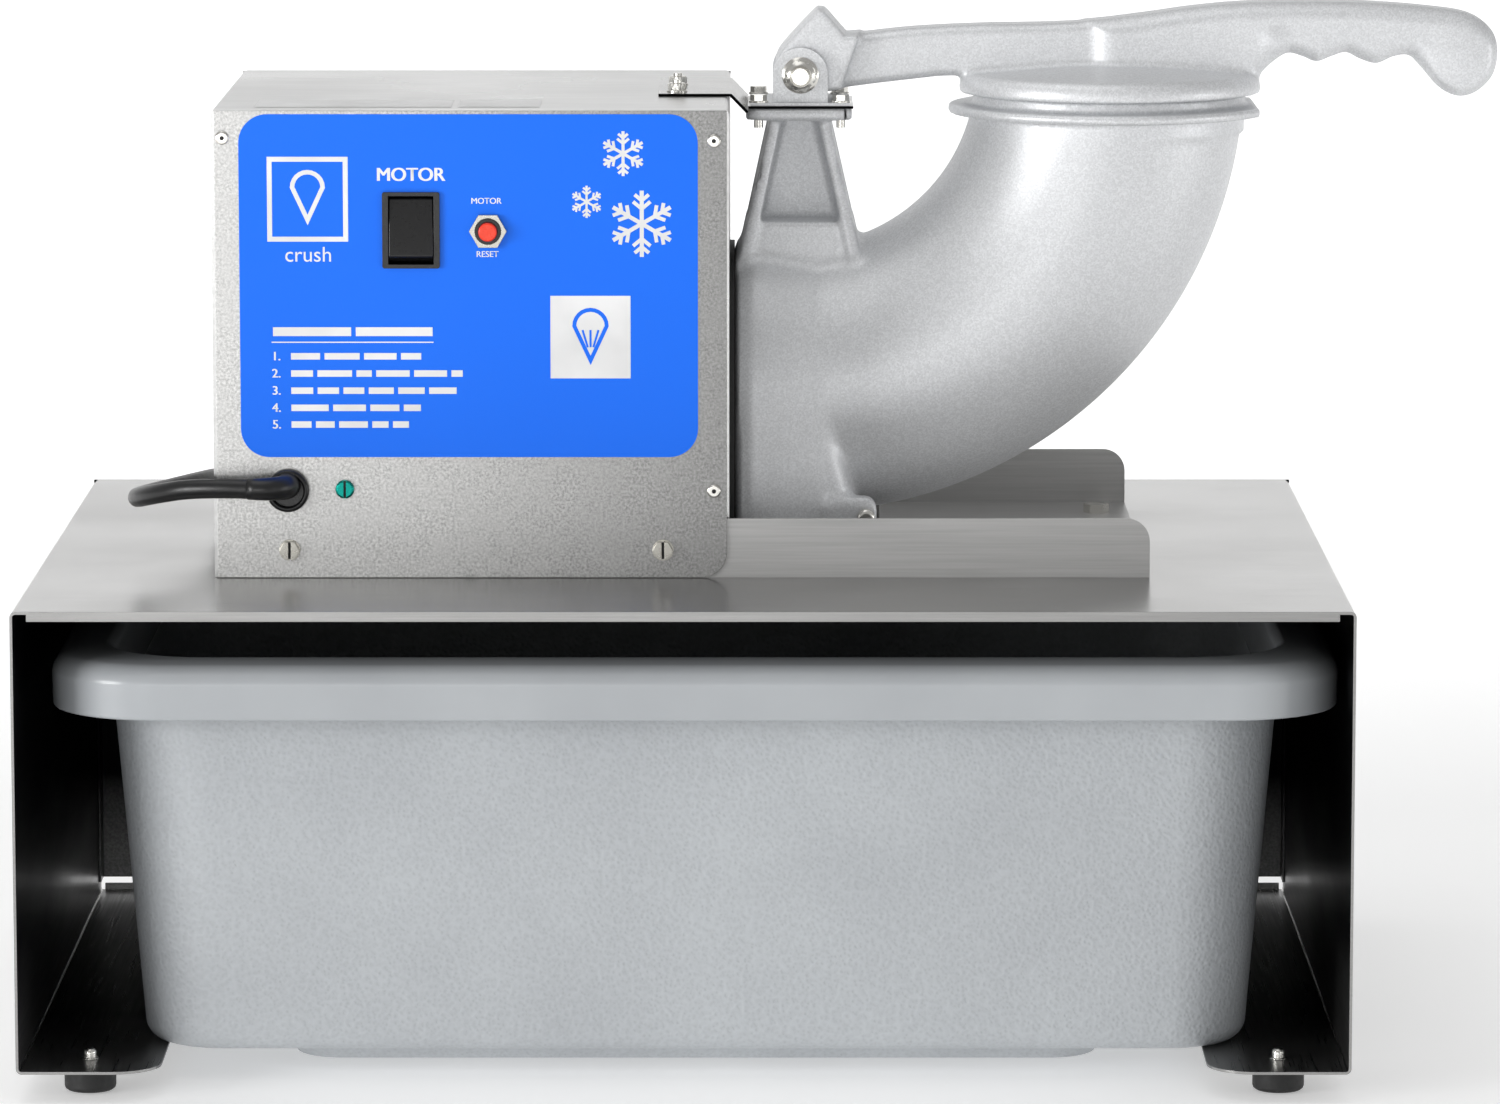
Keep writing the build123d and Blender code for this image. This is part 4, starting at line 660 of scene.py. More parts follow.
def coil_points():
    """Turns of the put-away coil: two side by side on two more, clockwise from its left side."""
    centre = mid("cord_coil") / MM
    low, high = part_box("cord_coil")
    d = CORD_D / MM
    outer, inner = (high.x - low.x) / MM / 2 - d / 2, (high.x - low.x) / MM / 2 - 1.5 * d
    points, per_turn, whole = [], 18, 1170
    pull = math.cos(math.pi / per_turn)
    for step in range(1, int(whole / 360 * per_turn) + 1):
        turned = 360 * step / per_turn
        inward = ease(turned, 295, 360) - ease(turned, 890, 960)
        radius = (outer - (outer - inner) * inward) / pull
        z = d / 2 + d * ease(turned, 590, 660)
        angle = math.radians(180 - turned)
        points.append((centre.x + radius * math.cos(angle), centre.y + radius * math.sin(angle), z))
    return points


def supply_cord():
    """The cord as one smooth curve, from its boot round the box to the coil and the plug."""
    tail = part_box("power_plug")[0].x / MM
    points = ROUTE + coil_points()
    x, y, z = points[-1]
    points += [(x + 8, mid("power_plug").y / MM, mid("power_plug").z / MM),
               (tail + 2, mid("power_plug").y / MM, mid("power_plug").z / MM)]
    curve = bpy.data.curves.new("supply_cord", "CURVE")
    curve.dimensions = "3D"
    spline = curve.splines.new("NURBS")
    spline.points.add(len(points) - 1)
    for point, place in zip(spline.points, points):
        point.co = (*(v * MM for v in place), 1)
    spline.order_u = 3
    spline.use_endpoint_u = True
    spline.resolution_u = 8
    curve.bevel_depth = CORD_D / 2
    curve.bevel_resolution = 6
    curve.use_fill_caps = True
    obj = placed("supply_cord", curve)
    curve.materials.append(MATERIALS["cord_black"])
    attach(obj, "frame")
    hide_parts("cord_run", "cord_coil")


supply_cord()


# ---- hopper casting ----
PX, PZ, CY, CZ = PIVOT.x / MM, PIVOT.z / MM, AXIS_Y / MM, AXIS_Z / MM
BEND, TUBE, BORE = ELBOW_R / MM, 59.2, 54.2
FLOOR = CAST_LOW.z / MM
MX = MOUTH_X / MM
PLATFORM_Z1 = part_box("hinge_strap")[0].z / MM


def tube_field(x, y, z, radius):
    """Bend about the hinge line, straight before it and open at the mouth."""
    rx, rz = x - PX, z - PZ
    bend = np.hypot(np.hypot(rx, rz) - BEND, y - CY) - radius
    straight = np.hypot(z - CZ, y - CY) - radius
    return np.where(rx > 0, bend, straight)


def casting_field(x, y, z):
    """The whole casting: housing, skirt, bend, mouth, post, lugs and the hollow inside."""
    side = np.abs(y - CY)
    flare = 47.0 + 26.0 - 13.0 * np.clip((z - 236.0) / 46.0, 0.0, 1.0)
    slim = np.clip((x - 30.0) / 30.0, 0.0, 1.0)
    drum = np.hypot(np.maximum(z - CZ, 0), y - CY) - 63.0 + 3.8 * slim * slim * (3 - 2 * slim)
    housing = slab(drum, x - (21.0 + flare) / 2, (flare - 21.0) / 2, 9.0)
    housing = np.maximum(housing, FLOOR - z)
    bend = np.maximum(tube_field(x, y, z, TUBE), 24.0 - x)
    body = smooth_union(housing, bend, 4.0)
    collar = slab(np.hypot(x - MX, y - CY) - TUBE, z - 400.0, 8.5, 0.8)
    body = smooth_union(body, collar, 2.0)
    disc = np.maximum(np.hypot(x - MX, y - CY) - 71.0, x - MX - 64.3)
    body = smooth_union(body, slab(disc, z - 401.5, 2.0, 1.2), 1.6)
    body = smooth_union(body, post_field(x, y, z), 4.0)
    lug = slab(rect(x, z, 60.0, 83.0, FLOOR - 9, 236.0, 5.5), side - 55.0, 5.0, 1.0)
    body = smooth_union(body, lug, 2.5)
    body = np.maximum(body, FLOOR - z)
    hollow = np.maximum(tube_field(x, y, z, BORE), 26.0 - x)
    body = smooth_cut(body, hollow, 1.0)
    chute = slab(rect(x, z, 26.0, 46.5, FLOOR - 20, CZ), y - CY, 48.0, 1.0)
    body = smooth_cut(body, chute, 1.0)
    under = slab(rect(x, z, 50.0, 76.0, FLOOR - 20, 224.0), y - CY, 50.0, 1.0)
    body = smooth_cut(body, under, 1.0)
    body = smooth_cut(body, slab(np.hypot(y - CY, z - CZ) - 14.0, x - 21.0, 7.0, 0.1), 0.5)
    body = smooth_cut(body, lug_bore(x, y, z), 0.4)
    return np.maximum(body, z - 408.5)


def lug_bore(x, y, z):
    """Holes for the lug screws."""
    return np.maximum(np.hypot(x - 78.4, z - 227.5) - 2.1, 45 - np.abs(y - CY))


def post_field(x, y, z):
    """Tapered post: web, two ribs, platform with rounded corners."""
    low_z, top_z = CZ + 44.0, PLATFORM_Z1 - 5.4
    share = np.clip((z - low_z) / (top_z - low_z), -0.3, 1.3)
    left = 20.8 + (36.4 - 20.8) * share
    right = 79.0 + (62.6 - 79.0) * share
    half_y = 31.0 - 8.0 * share
    middle, half_x = (left + right) / 2, (right - left) / 2
    rise = np.maximum(low_z - z, z - top_z - 1)
    side = np.abs(y - CY)
    web = np.maximum(np.maximum(np.abs(x - middle) - half_x + 1, side - 4.0), rise)
    rib_x = np.abs(np.abs(x - middle) - half_x + 2.6) - 2.6
    rib = np.maximum(slab(rib_x, y - CY, half_y, 1.6), rise)
    post = smooth_union(web, rib, 5.0)
    ledge = slab(np.abs(x - middle) - half_x, y - CY, half_y - 1.5, 2.0)
    ledge = np.maximum(ledge, np.maximum(low_z - z, z - 353.5))
    post = smooth_union(post, ledge, 2.5)
    plate = rect(x, y, 26.0, 72.5, CY - 27.0, CY + 27.0, 7.0)
    post = smooth_union(post, slab(plate, z - (PLATFORM_Z1 - 2.7), 2.7, 1.2), 2.0)
    holes = np.hypot(np.abs(x - 49.5) - 18.0, side - 22.0) - 2.1
    return smooth_cut(post, holes, 0.4)


def hopper_casting():
    """One casting, as the frame's node of that name."""
    low, high = [v / MM for v in CAST_LOW], [v / MM for v in CAST_HIGH]
    points, quads = grid_mesh(casting_field, low, high, 1.75)
    points = np.clip(points, np.array(low), np.array(high))
    piece("hopper_casting_skin", mesh_of(points, quads), "frame", "cast_alloy", ("hopper_casting",))


# ---- lever casting ----
KNUCKLE = [(61.6, 410.0), (56.0, 408.6), (49.8, 407.5), (43.0, 410.3), (40.2, 416.5), (40.0, 423.4),
           (42.7, 429.3), (56.0, 443.8), (58.8, 445.2), (61.4, 444.0), (68.6, 435.9), (72.0, 434.4)]
ARM_TOP = [(100.0, 437.2), (129.0, 438.6), (160.0, 439.2), (180.0, 440.4), (201.5, 443.0), (223.0, 446.0),
           (245.0, 447.9), (274.0, 448.4), (300.0, 447.9), (325.0, 446.0), (343.0, 443.2)]
GRIP = [(352.5, 437.0), (355.8, 428.0), (354.0, 417.0), (347.0, 409.6), (339.0, 407.6), (331.0, 411.2),
        (324.0, 419.0), (317.5, 425.3), (310.5, 425.0), (303.0, 422.0), (296.0, 423.8), (289.5, 426.8),
        (283.0, 425.0), (276.5, 422.8), (270.0, 425.2), (263.5, 426.4), (256.0, 421.5), (249.5, 414.6)]
ARM_LOW = [(236.0, 412.0), (130.0, 412.5), (118.5, 416.2), (110.0, 415.9), (84.8, 413.0)]


def lever_field():
    """The lever's field, with the outline's distance read from one flat table."""
    read = table_lookup(np.concatenate([curve_points(KNUCKLE + ARM_TOP + GRIP, 6), np.array(ARM_LOW)]))

    def field(x, y, z):
        side = y - CY
        flat = read(x, z)
        arm = slab(flat, side, 11.0, 4.2)
        knuckle = np.maximum(slab(flat, side, 18.5, 1.8), x - 74.0 - 0.35 * (z - 430.0))
        body = smooth_union(arm, knuckle, 3.0)
        nose = np.hypot(np.maximum(188.0 - x, 0), side) - 14.4
        grip = np.maximum(slab(flat + 0.3, side, 14.4, 7.0), nose)
        body = smooth_union(body, grip, 2.0)
        lid = slab(np.hypot(x - MX, side) - 64.4, z - 412.4, 4.0, 3.4)
        dome = np.hypot(np.hypot(x - MX, side) / 5.0, z - 409.0) - 12.0
        lid = smooth_union(lid, np.maximum(dome, 409.0 - z) * 0.8, 6.0)
        body = smooth_union(body, np.maximum(lid, 408.8 - z), 3.0)
        plug = slab(np.hypot(x - MX, side) - 53.0, z - 407.0, 2.7, 0.6)
        body = smooth_union(body, plug, 0.8)
        boss = np.hypot(np.hypot(x - 257.5, z - 432.4) / 5.0, (np.abs(side) - 13.6) / 1.8) - 1
        body = smooth_union(body, boss * 1.8, 1.5)
        ball = np.hypot(np.hypot(x - 339.0, z - 423.5) / 12.0, (np.abs(side) - 13.0) / 2.4) - 1
        body = smooth_union(body, ball * 2.4, 2.0)
        return smooth_cut(body, np.maximum(np.hypot(x - PX, z - PZ) - 6.0, np.abs(side) - 30), 0.5)
    return field


def lever_casting():
    """Knuckle, arm, lid and finger grip in one casting."""
    low, high = [v / MM for v in LEVER_LOW], [v / MM for v in LEVER_HIGH]
    points, quads = grid_mesh(lever_field(), low, high, 1.25)
    piece("lever_casting_skin", mesh_of(points, quads), "lever", "cast_alloy", ("lever_casting",))


hopper_casting()
lever_casting()


# ---- tub ----
CORNER_STEPS = 12


def ring_of(half_x, half_y, radius, z):
    """Points round a rounded rectangle about the tub's middle, in mm."""
    cx, cy = mid("ice_tub").x / MM, mid("ice_tub").y / MM
    points = []
    for quarter, (sx, sy) in enumerate(((1, 1), (-1, 1), (-1, -1), (1, -1))):
        for step in range(CORNER_STEPS + 1):
            turn = math.radians(90 * quarter + 90 * step / CORNER_STEPS)
            points.append((cx + sx * (half_x - radius) + radius * math.cos(turn),
                           cy + sy * (half_y - radius) + radius * math.sin(turn), z))
    return points


def skin_rings(*solids):
    """Each solid is a list of rings in mm: quads between them, with the first and last closed."""
    bm = bmesh.new()
    for rings in solids:
        rows = [[bm.verts.new([v * MM for v in point]) for point in ring] for ring in rings]
        for low, high in zip(rows, rows[1:]):
            for i in range(len(low)):
                j = (i + 1) % len(low)
                bm.faces.new((low[i], low[j], high[j], high[i]))
        bm.faces.new(rows[0][::-1])
        bm.faces.new(rows[-1])
    bmesh.ops.recalc_face_normals(bm, faces=bm.faces)
    return mesh_from(bm)


def arc_rows(half_x, half_y, radius, z, r, start, end, steps=6):
    """Rings that round an edge: r about a ring's line, from start to end degrees (0 outward, 90 up)."""
    rows = []
    for step in range(steps + 1):
        turn = math.radians(start + (end - start) * step / steps)
        out = r * math.cos(turn)
        rows.append(ring_of(half_x + out, half_y + out, max(radius + out, 1.0), z + r * math.sin(turn)))
    return rows


def ice_tub():
    """Moulded tub: lowered base, tapered walls, rolled rim with a rounded top edge."""
    low_x, low_y, high_x, high_y = 235.5, 164.0, 250.0, 179.0
    floor, top = 13.2, TUB_HIGH.z / MM
    rim_x, rim_y = (TUB_HIGH.x - TUB_LOW.x) / MM / 2, (TUB_HIGH.y - TUB_LOW.y) / MM / 2

    def wall(z, inset):
        share = (z - floor) / (top - floor)
        return (low_x + (high_x - low_x) * share - inset, low_y + (high_y - low_y) * share - inset,
                34 + 10 * share - inset, z)
    rings = arc_rows(171, 137, 19, 6.6, 1.6, -90, -20, 4)
    rings += [ring_of(177.5, 143, 23, 11.6), ring_of(180.5, 145.6, 24.5, 13.0), ring_of(184, 149, 26, 13.2)]
    rings += arc_rows(*wall(22.5, 9.3)[:3], 22.5, 9.3, -90, -4, 9)
    rings += [ring_of(*wall(z, 0)) for z in (30, 60, 100, 140, 165, 180)]
    x, y, r, z = wall(183, 0)
    rings += [ring_of(x + 0.8, y + 0.8, r, 182.4), ring_of(x + 2, y + 2, r, 183)]
    rings += [ring_of(rim_x - 4.5, rim_y - 4.5, 44, 183), ring_of(rim_x - 3, rim_y - 3, 45, 181.5)]
    rings += arc_rows(rim_x - 1.5, rim_y - 1.5, 46.5, 163.1, 1.5, -180, 0, 6)
    rings += arc_rows(rim_x - 9, rim_y - 9, 39, top - 10.5, 9.4, 6, 78, 8)
    rings += [ring_of(rim_x - 12, rim_y - 12, 36, top - 0.4)]
    x, y, r, z = wall(top, 3)
    rings += arc_rows(x + 4.5, y + 4.5, r + 4.5, top - 4.5, 4.5, 90, 176, 6)
    rings += [ring_of(*wall(z, 3)) for z in (165, 120, 80, 40)]
    rings += arc_rows(*wall(24.2, 11)[:3], 24.2, 8.0, 0, -90, 7)
    rings += [ring_of(182, 147, 25, 16.2), ring_of(177.6, 142.6, 21, 15.2), ring_of(174, 139, 18, 8.6),
              ring_of(171, 136, 16, 8.0)]
    flat_normals(piece("ice_tub_skin", skin_rings(rings), "tub", "tub_grey", ("ice_tub",)))


# ---- small pieces ----
def around(place, radius, height, turn, axis):
    """A point at a radius, a height along the axis and an angle about a place."""
    a, b = radius * math.cos(turn), radius * math.sin(turn)
    return [p + q for p, q in zip(place, (a, b, height) if axis == "Z" else (a, height, b))]


def turned_mesh(places, profile, steps=32, axis="Z"):
    """A profile of (radius, height) pairs in mm, turned about an axis at each place."""
    turns = [2 * math.pi * step / steps for step in range(steps)]
    return skin_rings(*([[around(place, radius, height, turn, axis) for turn in turns]
                         for radius, height in profile] for place in places))


def node_centres(node, axes, gap=6.0):
    """Middles of a node's separate solids, in mm, from its vertices grouped by place."""
    found = []
    for v in NODES[node].data.vertices:
        point = [c / MM for c in v.co]
        near = [f for f in found if all(abs(f[a][0] + f[a][1] - 2 * point[a]) < 2 * gap + f[a][1] - f[a][0]
                                        for a in axes)]
        if near:
            for a in range(3):
                near[0][a] = (min(near[0][a][0], point[a]), max(near[0][a][1], point[a]))
        else:
            found.append([(c, c) for c in point])
    return [tuple((a + b) / 2 for a, b in f) for f in found]


def feet():
    """Moulded feet with a rounded foot and a small step under the flange."""
    places = [(x, y, 0) for x, y, _ in node_centres("rubber_feet", (0, 1), 12)]
    profile = [(8.2, 0), (9.6, 0.25), (10.6, 1.0), (11.0, 2.2), (11.0, 10.4), (10.7, 11.4), (9.8, 12.0)]
    feet_mesh = turned_mesh(places, profile, 40)
    flat_normals(piece("feet_skin", feet_mesh, "frame", "black_rubber", ("rubber_feet",)))


def foot_screws():
    """Button heads with a hexagon socket, its recess a thin black hexagon of painted shade."""
    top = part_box("foot_screws")[1].z / MM
    places = [(x, y, top) for x, y, _ in node_centres("foot_screws", (0, 1), 12)]
    shank = [(2.0, -12), (2.0, -4.65), (3.6, -4.6)]
    head = [(3.8, -4.4), (3.7, -4.05), (3.0, -3.95), (2.9, -3.8), (2.9, -1.9), (2.65, -0.95), (2.0, -0.25),
            (1.3, 0.0)]
    screws = turned_mesh(places, shank + head)
    flat_normals(piece("foot_screws_skin", screws, "frame", "zinc_fastener", ("foot_screws",)))
    # Painted shade: a thin black hexagon on each head stands for the socket's recess.
    socket = turned_mesh([(x, y, z + 0.02) for x, y, z in places], [(1.2, -0.4), (1.2, 0.0)], 6)
    piece("foot_screw_socket_shade", socket, "frame", "black_rubber")


def rivet_marks():
    """A black disc in each blind rivet's head, painted shade for the hole round its mandrel."""
    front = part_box("panel_rivets")[0].y / MM
    places = [(x, front - 0.03, z) for x, _, z in node_centres("panel_rivets", (0, 2), 6)]
    # Painted shade: black discs just in front of the rivet heads.
    marks = turned_mesh(places, [(0.95, 0.3), (0.95, 0.0)], 16, "Y")
    piece("rivet_hole_painted_shade", marks, "frame", "black_rubber")


def hex_mesh(places, levels, turn=0.0, axis="Z"):
    """Nuts by levels of (height, limit, flats): each ring is a hexagon cut by a circle, or the circle."""
    up = 1 if axis == "Z" else -1

    def spot(place, height, limit, flats, angle):
        radius = min(limit, flats / 2 / math.cos(math.radians((angle + turn) % 60 - 30))) if flats else limit
        return around(place, radius, up * height, math.radians(angle), axis)
    mesh = skin_rings(*([[spot(place, *level, angle) for angle in range(0, 360, 5)] for level in levels]
                        for place in places))
    mesh.set_sharp_from_angle(angle=math.radians(28))
    return mesh


def nuts():
    """Flange nut of the hinge, and the strap's nuts with washers."""
    low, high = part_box("hinge_nut")
    places = [(mid("hinge_nut").x / MM, high.y / MM, mid("hinge_nut").z / MM)]
    flange = (high.x - low.x) / MM / 2
    levels = [(0.0, flange - 0.2, 0), (0.3, flange, 0), (0.9, flange, 0), (1.5, flange - 0.9, 0),
              (1.7, 7.2, 12.7), (5.3, 7.3, 12.7), (5.9, 6.4, 12.7), (6.5, 5.5, 12.7), (6.95, 4.85, 0),
              (7.0, 4.7, 0), (6.8, 4.05, 0)]
    piece("hinge_nut_skin", hex_mesh(places, levels, 12.0, "Y"), "frame", "zinc_fastener", ("hinge_nut",))
    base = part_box("strap_nuts")[0].z / MM
    places = [(x, y, base) for x, y, _ in node_centres("strap_nuts", (0, 1), 8)]
    levels = [(0.0, 4.5, 0), (0.7, 4.5, 0), (0.8, 4.3, 0), (0.85, 3.9, 7.0), (1.1, 4.05, 7.0),
              (3.4, 4.05, 7.0), (3.8, 3.5, 7.0), (4.0, 2.9, 0), (4.0, 2.05, 0)]
    piece("strap_nuts_skin", hex_mesh(places, levels, 10.0), "frame", "zinc_fastener", ("strap_nuts",))


def swept_mesh(path, radii, steps=24):
    """A round tube through points in mm, its radius given at each."""
    rings = []
    for i, (point, radius) in enumerate(zip(path, radii)):
        along = (Vector(path[min(i + 1, len(path) - 1)]) - Vector(path[max(i - 1, 0)])).normalized()
        up = Vector((0, 0, 1))
        side = along.cross(up).normalized()
        turns = [2 * math.pi * step / steps for step in range(steps)]
        rings.append([Vector(point) + side * radius * math.cos(turn) + up * radius * math.sin(turn)
                      for turn in turns])
    return skin_rings(rings)


def strain_relief():
    """Glossy collar in the panel and the short boot that turns the cord to the left."""
    low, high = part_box("cord_bushing")
    x, z = high.x / MM - 9.2, (low.z + high.z) / MM / 2
    face, turn_r, turned = PANEL_LOW.y / MM, 10.8, 102
    profile = [(7.5, 8.0), (7.5, 0.1), (9.0, 0.0), (9.2, -0.4), (9.2, -3.6), (8.8, -4.6), (7.9, -5.0),
               (7.1, -4.7), (6.8, -3.8), (6.8, -2.2)]
    collar = turned_mesh([(x, face, z)], profile, 40, "Y")
    flat_normals(piece("cord_collar", collar, "frame", "black_plastic", ("cord_bushing",)))
    tip = Vector(BOOT_TIP)
    path = [(x, face - 1.0, tip.z), (x, face - 5.0, tip.z)]
    for step in range(1, 15):
        turn = math.radians(turned * step / 14)
        path.append((x - turn_r * (1 - math.cos(turn)), face - 5.0 - turn_r * math.sin(turn), tip.z))
    path.append(tuple(tip))
    radii = [5.6 - 1.0 * i / (len(path) - 1) for i in range(len(path))]
    piece("cord_boot", swept_mesh(path, radii), "frame", "black_plastic", (), "cord_black")


# ---- printed label ----
class Print:
    """Flat shapes on a plane that faces the front, drawn in X and Z millimetres."""

    def __init__(self, y):
        self.bm = bmesh.new()
        self.y = y

    def polygon(self, points, level=0):
        y = self.y - 0.006 * level
        self.bm.faces.new([self.bm.verts.new((x * MM, y * MM, z * MM)) for x, z in points])

    def bar(self, x0, x1, z0, z1):
        self.polygon([(x0, z0), (x1, z0), (x1, z1), (x0, z1)])

    def stroke(self, points, width, closed=False, level=0):
        """A line of even width with mitred corners; lines that cross take different levels."""
        count, sides = len(points), []
        for i, (x, z) in enumerate(points):
            ends = [(points[i - 1], (x, z))] if i or closed else []
            ends += [((x, z), points[(i + 1) % count])] if i < count - 1 or closed else []
            normals = []
            for (x0, z0), (x1, z1) in ends:
                length = math.hypot(x1 - x0, z1 - z0)
                normals.append(((z0 - z1) / length, (x1 - x0) / length))
            nx, nz = sum(n[0] for n in normals), sum(n[1] for n in normals)
            length = math.hypot(nx, nz)
            nx, nz = nx / length, nz / length
            reach = width / 2 / max(nx * normals[0][0] + nz * normals[0][1], 0.35)
            sides.append(((x + nx * reach, z + nz * reach), (x - nx * reach, z - nz * reach)))
        for i in range(count if closed else count - 1):
            (a, b), (c, d) = sides[i], sides[(i + 1) % count]
            self.polygon([a, b, d, c], level)

    def words(self, text, x, z, height, align="CENTER", bold=0.0):
        """Plain lettering in the built-in face, its capitals that high; bold sets a second copy aside."""
        for level, shift in enumerate((-bold / 2, bold / 2) if bold else (0.0,)):
            font = bpy.data.curves.new("words", "FONT")
            font.body, font.align_x, font.size = text, align, height * 1.44
            obj = placed("words", font)
            depsgraph = bpy.context.evaluated_depsgraph_get()
            mesh = bpy.data.meshes.new_from_object(obj.evaluated_get(depsgraph))
            y = self.y - 0.006 * level
            mesh.transform(Matrix(((MM, 0, 0, (x + shift) * MM), (0, 0, 1, y * MM), (0, MM, 0, z * MM),
                                   (0, 0, 0, 1))))
            self.bm.from_mesh(mesh)
            bpy.data.objects.remove(obj)
            bpy.data.meshes.remove(mesh)

    def snowflake(self, x, z, radius, width):
        """Three lines that cross, with two pairs of twigs on each arm."""
        for arm in range(6):
            turn = math.radians(90 + 60 * arm)
            dx, dz = math.cos(turn), math.sin(turn)
            if arm < 3:
                self.stroke([(x - radius * dx, z - radius * dz), (x + radius * dx, z + radius * dz)], width,
                            level=arm)
            for share, twig in ((0.45, 0.34), (0.70, 0.28)):
                root = (x + radius * share * dx, z + radius * share * dz)
                reach, lean = radius * twig, math.radians(50)
                tips = [(root[0] + reach * math.cos(a), root[1] + reach * math.sin(a))
                        for a in (turn + lean, turn - lean)]
                self.stroke([tips[0], root, tips[1]], width * 0.9, level=4)

    def finish(self, name, material, slot="label_blue"):
        for face in self.bm.faces:
            face.normal_update()
            if face.normal.y > 0:
                face.normal_flip()
        piece(name, mesh_from(self.bm), "frame", slot, (), material)


def cone_outline(x, z, size):
    """A paper cone with a rounded heap on it, as a closed line about a middle point."""
    turns = [math.radians(degrees) for degrees in range(0, 181, 15)]
    heap = [(x + 0.42 * size * math.cos(a), z + 0.18 * size + 0.42 * size * math.sin(a)) for a in turns]
    return heap + [(x, z - 0.72 * size)]


def label_print():
    """Generic marks: a framed cone, switch and reset words, snowflakes and step lines."""
    ink = Print(LABEL_LOW.y / MM - 0.05)
    ink.stroke([(-177.0, 355.2), (-177.0, 389.4), (-144.6, 389.4), (-144.6, 355.2)], 2.1, True)
    ink.stroke(cone_outline(-160.8, 374.6, 15.5), 1.9, True)
    ink.words("crush", -160.6, 345.6, 6.4)
    ink.words("MOTOR", -116.8, 380.2, 5.6, bold=0.5)
    ink.words("MOTOR", -84.6, 370.4, 2.5, bold=0.12)
    ink.words("RESET", -84.2, 347.6, 2.5, bold=0.12)
    ink.snowflake(-18.3, 361.8, 14.2, 1.75)
    ink.snowflake(-26.2, 391.8, 9.6, 1.3)
    ink.snowflake(-41.8, 371.2, 6.9, 0.95)
    ink.bar(-176.6, -107.4, 310.7, 311.2)
    rng = np.random.default_rng(7)
    ink.bar(-176.0, -142.6, 313.6, 317.4)
    ink.bar(-140.6, -107.8, 313.6, 317.4)
    for row, (z, end) in enumerate(((303.2, -110), (295.8, -95), (288.4, -95), (281.0, -113), (273.8, -118))):
        ink.words(f"{row + 1}.", -176.6, z, 3.7, "LEFT", 0.25)
        x = -168.4
        while x < end - 4:
            width = min(rng.uniform(6.5, 16.0), end - x)
            ink.bar(x, x + width, z + 0.3, z + 3.1)
            x += width + 1.9
    ink.finish("label_print", "label_white")


def badge():
    """A white square with a cone drawn in the label's blue."""
    ink = Print(LABEL_LOW.y / MM - 0.05)
    ink.bar(-57.4, -23.2, 295.4, 330.9)
    ink.finish("badge_square", "label_white")
    ink = Print(LABEL_LOW.y / MM - 0.10)
    ink.stroke(cone_outline(-40.3, 315.0, 16.5), 1.7, True)
    for dx in (-3.4, 0.0, 3.4):
        ink.stroke([(-40.3 + dx, 316.2), (-40.3 + dx * 0.35, 308.8)], 0.9, level=1)
    ink.finish("badge_cone", "label_blue")


def screw_slots():
    """Black bars of painted shade at the bottoms of the slots in the panel's screws and the earth screw."""
    ink = Print(PANEL_LOW.y / MM - 2.46)
    for x, _, z in node_centres("panel_screws", (0, 2), 12):
        ink.bar(x - 0.5, x + 0.5, z - 3.6, z + 3.6)
    ink.finish("panel_screw_slot_shade", "black_rubber", slot="zinc_fastener")
    ink = Print(PANEL_LOW.y / MM - 1.46)
    x, z = mid("ground_screw").x / MM, mid("ground_screw").z / MM
    ink.bar(x - 0.5, x + 0.5, z - 3.7, z + 3.7)
    ink.finish("ground_screw_slot_shade", "black_rubber", slot="ground_green")


# ---- box-top stickers, blank ----
def blank_stickers():
    """Two plain pale stickers on top of the motor box."""
    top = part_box("motor_case_wrap")[1].z
    bm = bmesh.new()
    for x0, x1, y0, y1 in ((-184, -100, -96, -60), (-97, -62, -96, -60)):
        corners = ((x0, y0), (x1, y0), (x1, y1), (x0, y1))
        bm.faces.new([bm.verts.new((x * MM, y * MM, top + 0.12 * MM)) for x, y in corners])
    piece("blank_stickers", mesh_from(bm), "frame", "wrap_steel", (), "label_white")


ice_tub()
feet()
foot_screws()
rivet_marks()
nuts()
strain_relief()
screw_slots()
label_print()
badge()
blank_stickers()


# ---- stage ----
def stage():
    """Pale floor that curves up behind."""
    bm = bmesh.new()
    profile = [(-7.5, 0.0), (6.5, 0.0)]
    for step in range(1, 13):
        turn = math.radians(90 * step / 12)
        profile.append((6.5 + 1.2 * math.sin(turn), 1.2 - 1.2 * math.cos(turn)))
    profile.append((7.7, 5.0))
    rows = [[bm.verts.new((x, y, z - 0.0004)) for y, z in profile] for x in (-8.0, 8.0)]
    for i in range(len(profile) - 1):
        bm.faces.new((rows[0][i], rows[1][i], rows[1][i + 1], rows[0][i + 1]))
    obj = placed("studio_floor", mesh_from(bm))
    obj.data.materials.append(floor_material("studio_floor"))


stage()

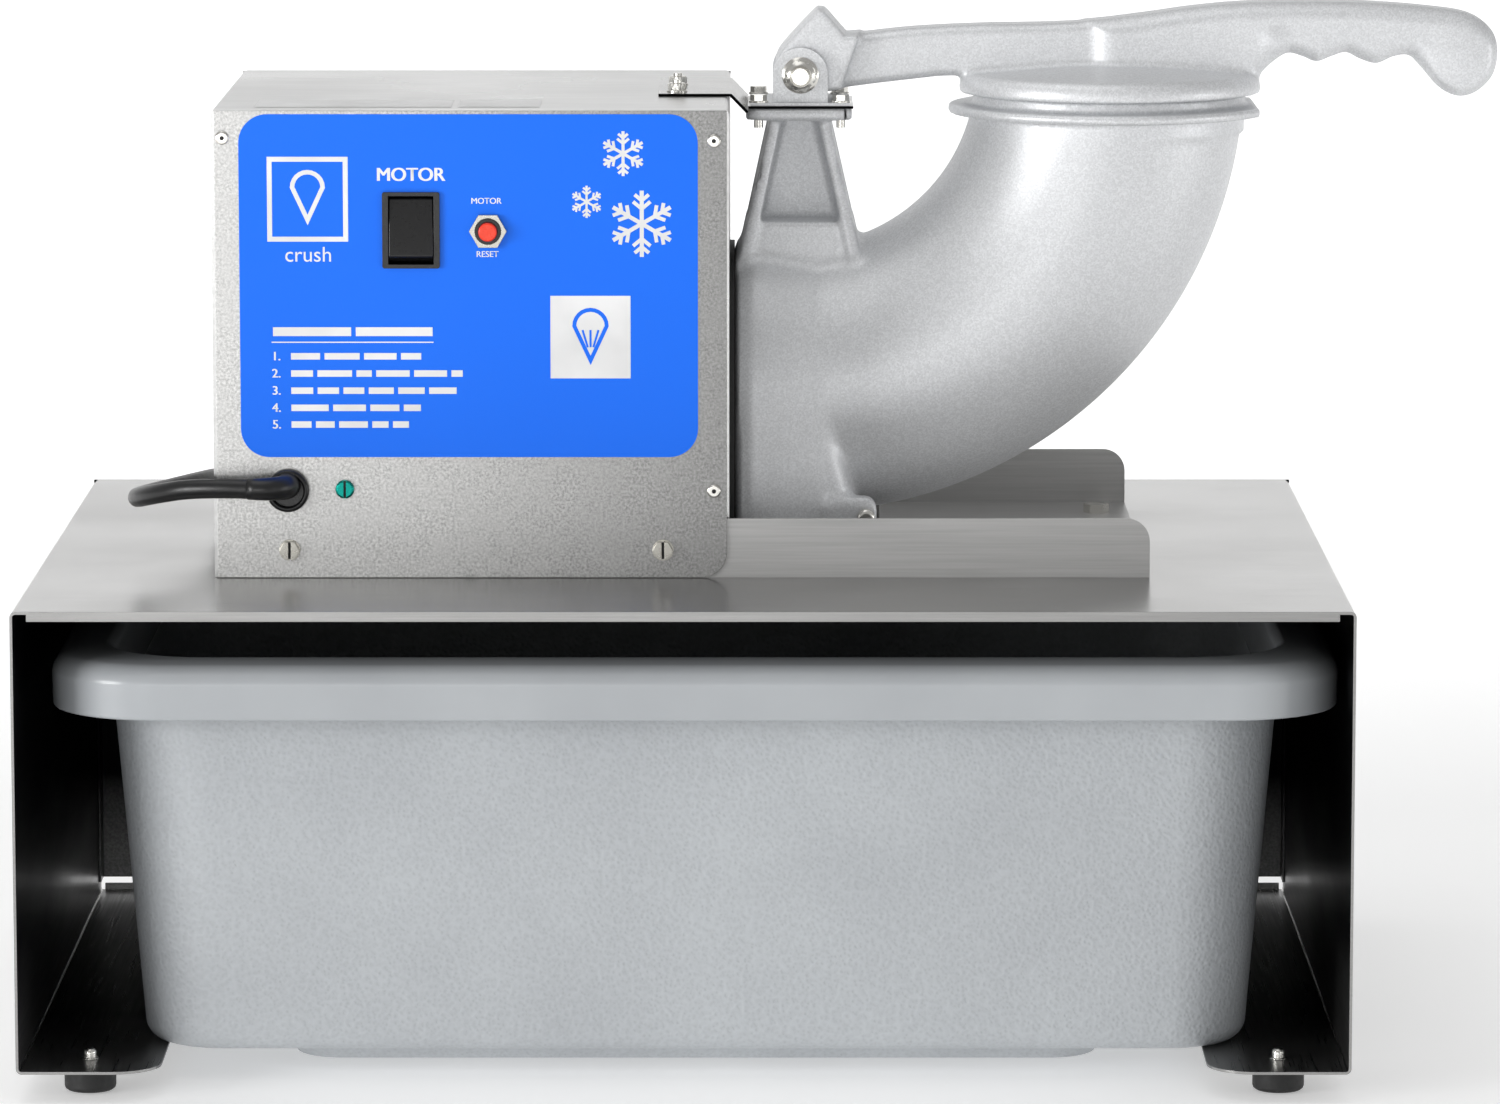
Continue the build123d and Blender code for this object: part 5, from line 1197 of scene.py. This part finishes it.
# ---- CAD nodes that keep their own shape ----
SOFT_EDGES = {
    "cabinet_shell": 0.25, "cabinet_back_panel": 0.25, "machine_tray": 0.25, "motor_case_wrap": 0.25,
    "front_panel": 0.2, "rear_panel": 0.2, "hinge_strap": 0.3, "hinge_bracket": 0.6,
    "hopper_foot": 0.3, "switch_housing": 0.35, "rocker": 0.5, "reset_nut": 0.4,
    "strap_bolts": 0.3, "bracket_screws": 0.3, "panel_screws": 0.3,
    "ground_screw": 0.25, "hinge_bolt": 0.4, "rear_panel_screws": 0.2, "reset_button": 0.2,
}


def shade_inside(obj):
    """Gives the faces that look into the bay the painted shade, and the floor flanges their own painted light
    and shade.
    """
    obj.data.materials.append(MATERIALS["stainless_dark"])
    obj.data.materials.append(MATERIALS["stainless_floor"])
    low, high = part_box("cabinet_shell")
    for face in obj.data.polygons:
        x, y, z = face.center
        wall = abs(face.normal.x) > 0.9 and low.x + 0.8 * MM < x < high.x - 0.8 * MM
        roof = face.normal.z < -0.9 and z > 0.9 * high.z and low.y + 3 * MM < y < high.y - 3 * MM
        back = face.normal.y < -0.9 and y > high.y - 0.02 and z > 0.03
        floor = face.normal.z > 0.9 and z < 0.02
        face.material_index = 2 if floor else int(wall or roof or back)


def shade_front_edge(obj):
    """The sheared front edge of the strap, made darker than its faces with painted shade."""
    obj.data.materials.append(MATERIALS["stainless_dark"])
    for face in obj.data.polygons:
        # Painted shade: front-facing faces take the near-black sheet.
        face.material_index = int(face.normal.y < -0.7)


# Other materials: a duller zinc for the reset nut and panel screws, and for the tray a painted-light copy of
# the stainless.
FINISH_AND_PAINTED_LIGHT = {"reset_nut": "zinc_dull", "panel_screws": "zinc_dull", "machine_tray": "tray_steel"}
for node, width in SOFT_EDGES.items():
    skin = softened(node, width, material=FINISH_AND_PAINTED_LIGHT.get(node))
    if node in ("cabinet_shell", "cabinet_back_panel"):
        shade_inside(skin)
    if node == "hinge_strap":
        shade_front_edge(skin)

for name, obj in NODES.items():
    obj.data.materials.clear()
    obj.data.materials.append(MATERIALS[slot_of(name)])
